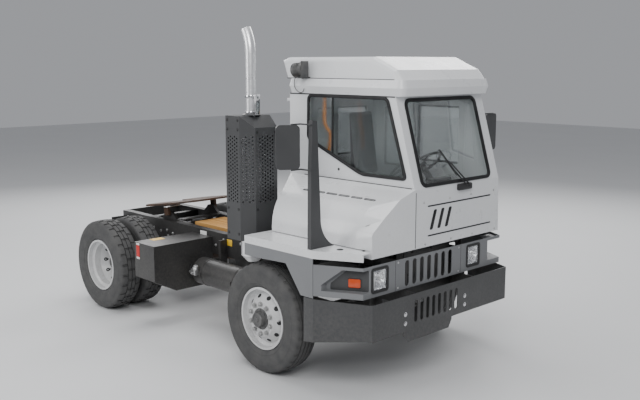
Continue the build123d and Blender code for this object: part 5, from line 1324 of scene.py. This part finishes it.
def makeTankBands():
    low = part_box("air_tank")[0]
    radius, wide = tankBands["radius"], tankBands["width"]
    over = radius + tankBands["thickness"]
    z, boltY = low.z + radius, low.y + radius - over - tankBands["boltOut"]
    parts = []
    for x in tankBands["places"]:
        profile = ringProfile(radius - tankBands["sunk"], over, wide)
        parts.append(turned(profile, 48, (x - wide / 2, low.y + radius, z), (1, 0, 0)))
        foot, head = about(z, tankBands["boltHalf"])
        parts.append(rod((x, boltY, foot), (x, boltY, head), tankBands["boltRadius"]))
    dress(joined(parts), "tankBands", "framePaint", "chassis")
    print("tank bands done")


# Air valve on the tank's outer side, with a hose; places measured from the valve

valve = {
    "x": fa(-1.560), "out": 0.024, "up": 0.140,
    "body": ((-0.052, 0.030), (-0.026, 0.030), (0, 0.070), 0.010),
    "turned": (  # profile, steps, place, direction
        (((0, 0), (0, 0.034), (0.018, 0.034), (0.026, 0.028), (0.040, 0.028), (0.046, 0.020), (0.046, 0)),
         24, (0.004, 0, 0.066), (0.3, 0, 1)),
        (((0, 0), (0, 0.019), (0.020, 0.019), (0.022, 0.013), (0.046, 0.013), (0.046, 0)),
         16, (-0.050, 0, 0.034), (-1, 0, -0.2)),
        (knob(0.012, 0.030, 0.034, 0.008), 12, (0, -0.024, 0.030), (0, -1, 0)),
    ),
    "hose": ((-0.090, 0, 0.026), (-0.130, 0.030, 0.050), (-0.165, 0.070, 0.070), (-0.192, 0.080, 0.070)),
    "hoseRadius": 0.008,
}


def makeValve():
    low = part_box("air_tank")[0]
    place = Vector((valve["x"], low.y - valve["out"], low.z + valve["up"]))
    *spans, rounding = valve["body"]
    parts = [block(*shifted(spans, place), rounding)]
    for profile, steps, move, direction in valve["turned"]:
        parts.append(turned(profile, steps, place + Vector(move), direction))
    dress(joined(parts), "airValve", "boltZinc", "chassis")
    hose = bentRod([place + Vector(move) for move in valve["hose"]], valve["hoseRadius"])
    dress(hose, "valveHose", "sealRubber", "chassis")
    print("valve done")


# Tail lamps

tailLamp = {
    "x": fa(-3.640), "rowY": (-0.518, 0.518), "z": 0.880, "spacing": 0.047, "plate": 0.008,
    "plateY": (0.430, 0.618), "plateHalf": 0.055,
    "case": ((0, 0), (0, 0.0455), (0.008, 0.0455), (0.009, 0.0445), (0.009, 0.042), (0.003, 0.0415), (0.003, 0)),
    "lens": ((0.004, 0), (0.004, 0.042), (0.007, 0.041), (0.010, 0.030), (0.011, 0)),
}


def makeTailLamps():
    x, z = tailLamp["x"], tailLamp["z"]
    lenses, cases = [], []
    for y in tailLamp["rowY"]:
        for side in (-1, 1):
            place = (x, y + side * tailLamp["spacing"], z)
            cases.append(turned(tailLamp["case"], 28, place, (-1, 0, 0)))
            lenses.append(turned(tailLamp["lens"], 28, place, (-1, 0, 0)))
        side = -1 if y < 0 else 1
        cases.append(block((x, x + tailLamp["plate"]), sorted(side * end for end in tailLamp["plateY"]),
                           about(z, tailLamp["plateHalf"]), 0.002))
    dress(joined(cases), "tailLampCases", "blackPlastic", "chassis")
    dress(joined(lenses), "tailLampLenses", "redLens", "chassis")
    print("tail lamps done")


# Round plug on the cab's side, cap in the deck's hole, and handles of both doors

cabDetails = {
    "plug": knob(0.014, 0.002, 0.004, 0.010), "plugPlace": (fa(0.140), -0.3005, 1.870),
    "cap": ((-0.002, 0), (-0.002, 0.030), (0.002, 0.030), (0.003, 0.027), (0.001, 0.024), (0.001, 0)),
    "capAbove": (fa(0.854), -1.006, 2.0),
    "handle": (  # base, grip and stem: x, y from the door's outer face, z, rounding
        ((fa(0.062), fa(0.150)), (-0.042, -0.030), (1.760, 1.830), 0.008),
        ((fa(0.052), fa(0.166)), (-0.018, -0.004), (1.782, 1.806), 0.006),
        ((fa(0.066), fa(0.082)), (-0.036, -0.008), (1.784, 1.804), 0.004),
    ),
    "pull": ((-0.002, 1.72), (-0.010, 1.73), (-0.010, 1.86), (-0.002, 1.87)), "pullY": 0.365, "pullRadius": 0.006,
}


def makeCabDetails():
    plug = turned(cabDetails["plug"], 20, cabDetails["plugPlace"], (0, -1, 0))
    dress(plug, "sidePlug", "blackPlastic", "cab")
    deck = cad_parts["deck_right"]
    hit, place, normal, index = deck.ray_cast(Vector(cabDetails["capAbove"]), Vector((0, 0, -1)))
    dress(turned(cabDetails["cap"], 28, place, normal), "deckCap", "sealRubber", "chassis")
    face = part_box("door_left")[1].y
    parts = [block(x, [face + end for end in y], z, rounding) for x, y, z, rounding in cabDetails["handle"]]
    dress(joined(parts), "doorHandle", "blackPlastic", "door_left")
    face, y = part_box("rear_door")[0].x, cabDetails["pullY"]
    pull = bentRod([(face + x, y, z) for x, z in cabDetails["pull"]], cabDetails["pullRadius"])
    dress(pull, "rearDoorPull", "blackPlastic", "rear_door")
    print("cab details done")


# Release bar of the fifth wheel, heights measured from the plate's top

releaseBar = {
    "route": ((-2.560, -0.300, -0.075), (-2.560, -0.420, -0.080), (-2.575, -0.485, -0.085), (-2.600, -0.500, -0.085)),
    "radius": 0.008,
}


def makeFifthWheelDetails():
    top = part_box("fifth_wheel")[1].z
    bar = bentRod([(fa(x), y, top + z) for x, y, z in releaseBar["route"]], releaseBar["radius"])
    dress(bar, "releaseBar", "boltZinc", "fifth_wheel")
    print("fifth wheel done")


makeCamera()
makeStage()
dressNodes()
print("stage and finishes done")
makeLampLead()
makeTyres()
makeWheelFittings()
makeSeals()
makeWiper()
makeHeadLamps()
makeFrontDetails()
makeBolts()
makeWorkLamps()
makeGrabHandle()
makeStackClamps()
makeMirrors()
makeCoverLips()
makeSteeringWheel()
makeSeat()
makeDashDetails()
makeChassisDetails()
makeTankBands()
makeValve()
makeTailLamps()
makeCabDetails()
makeFifthWheelDetails()
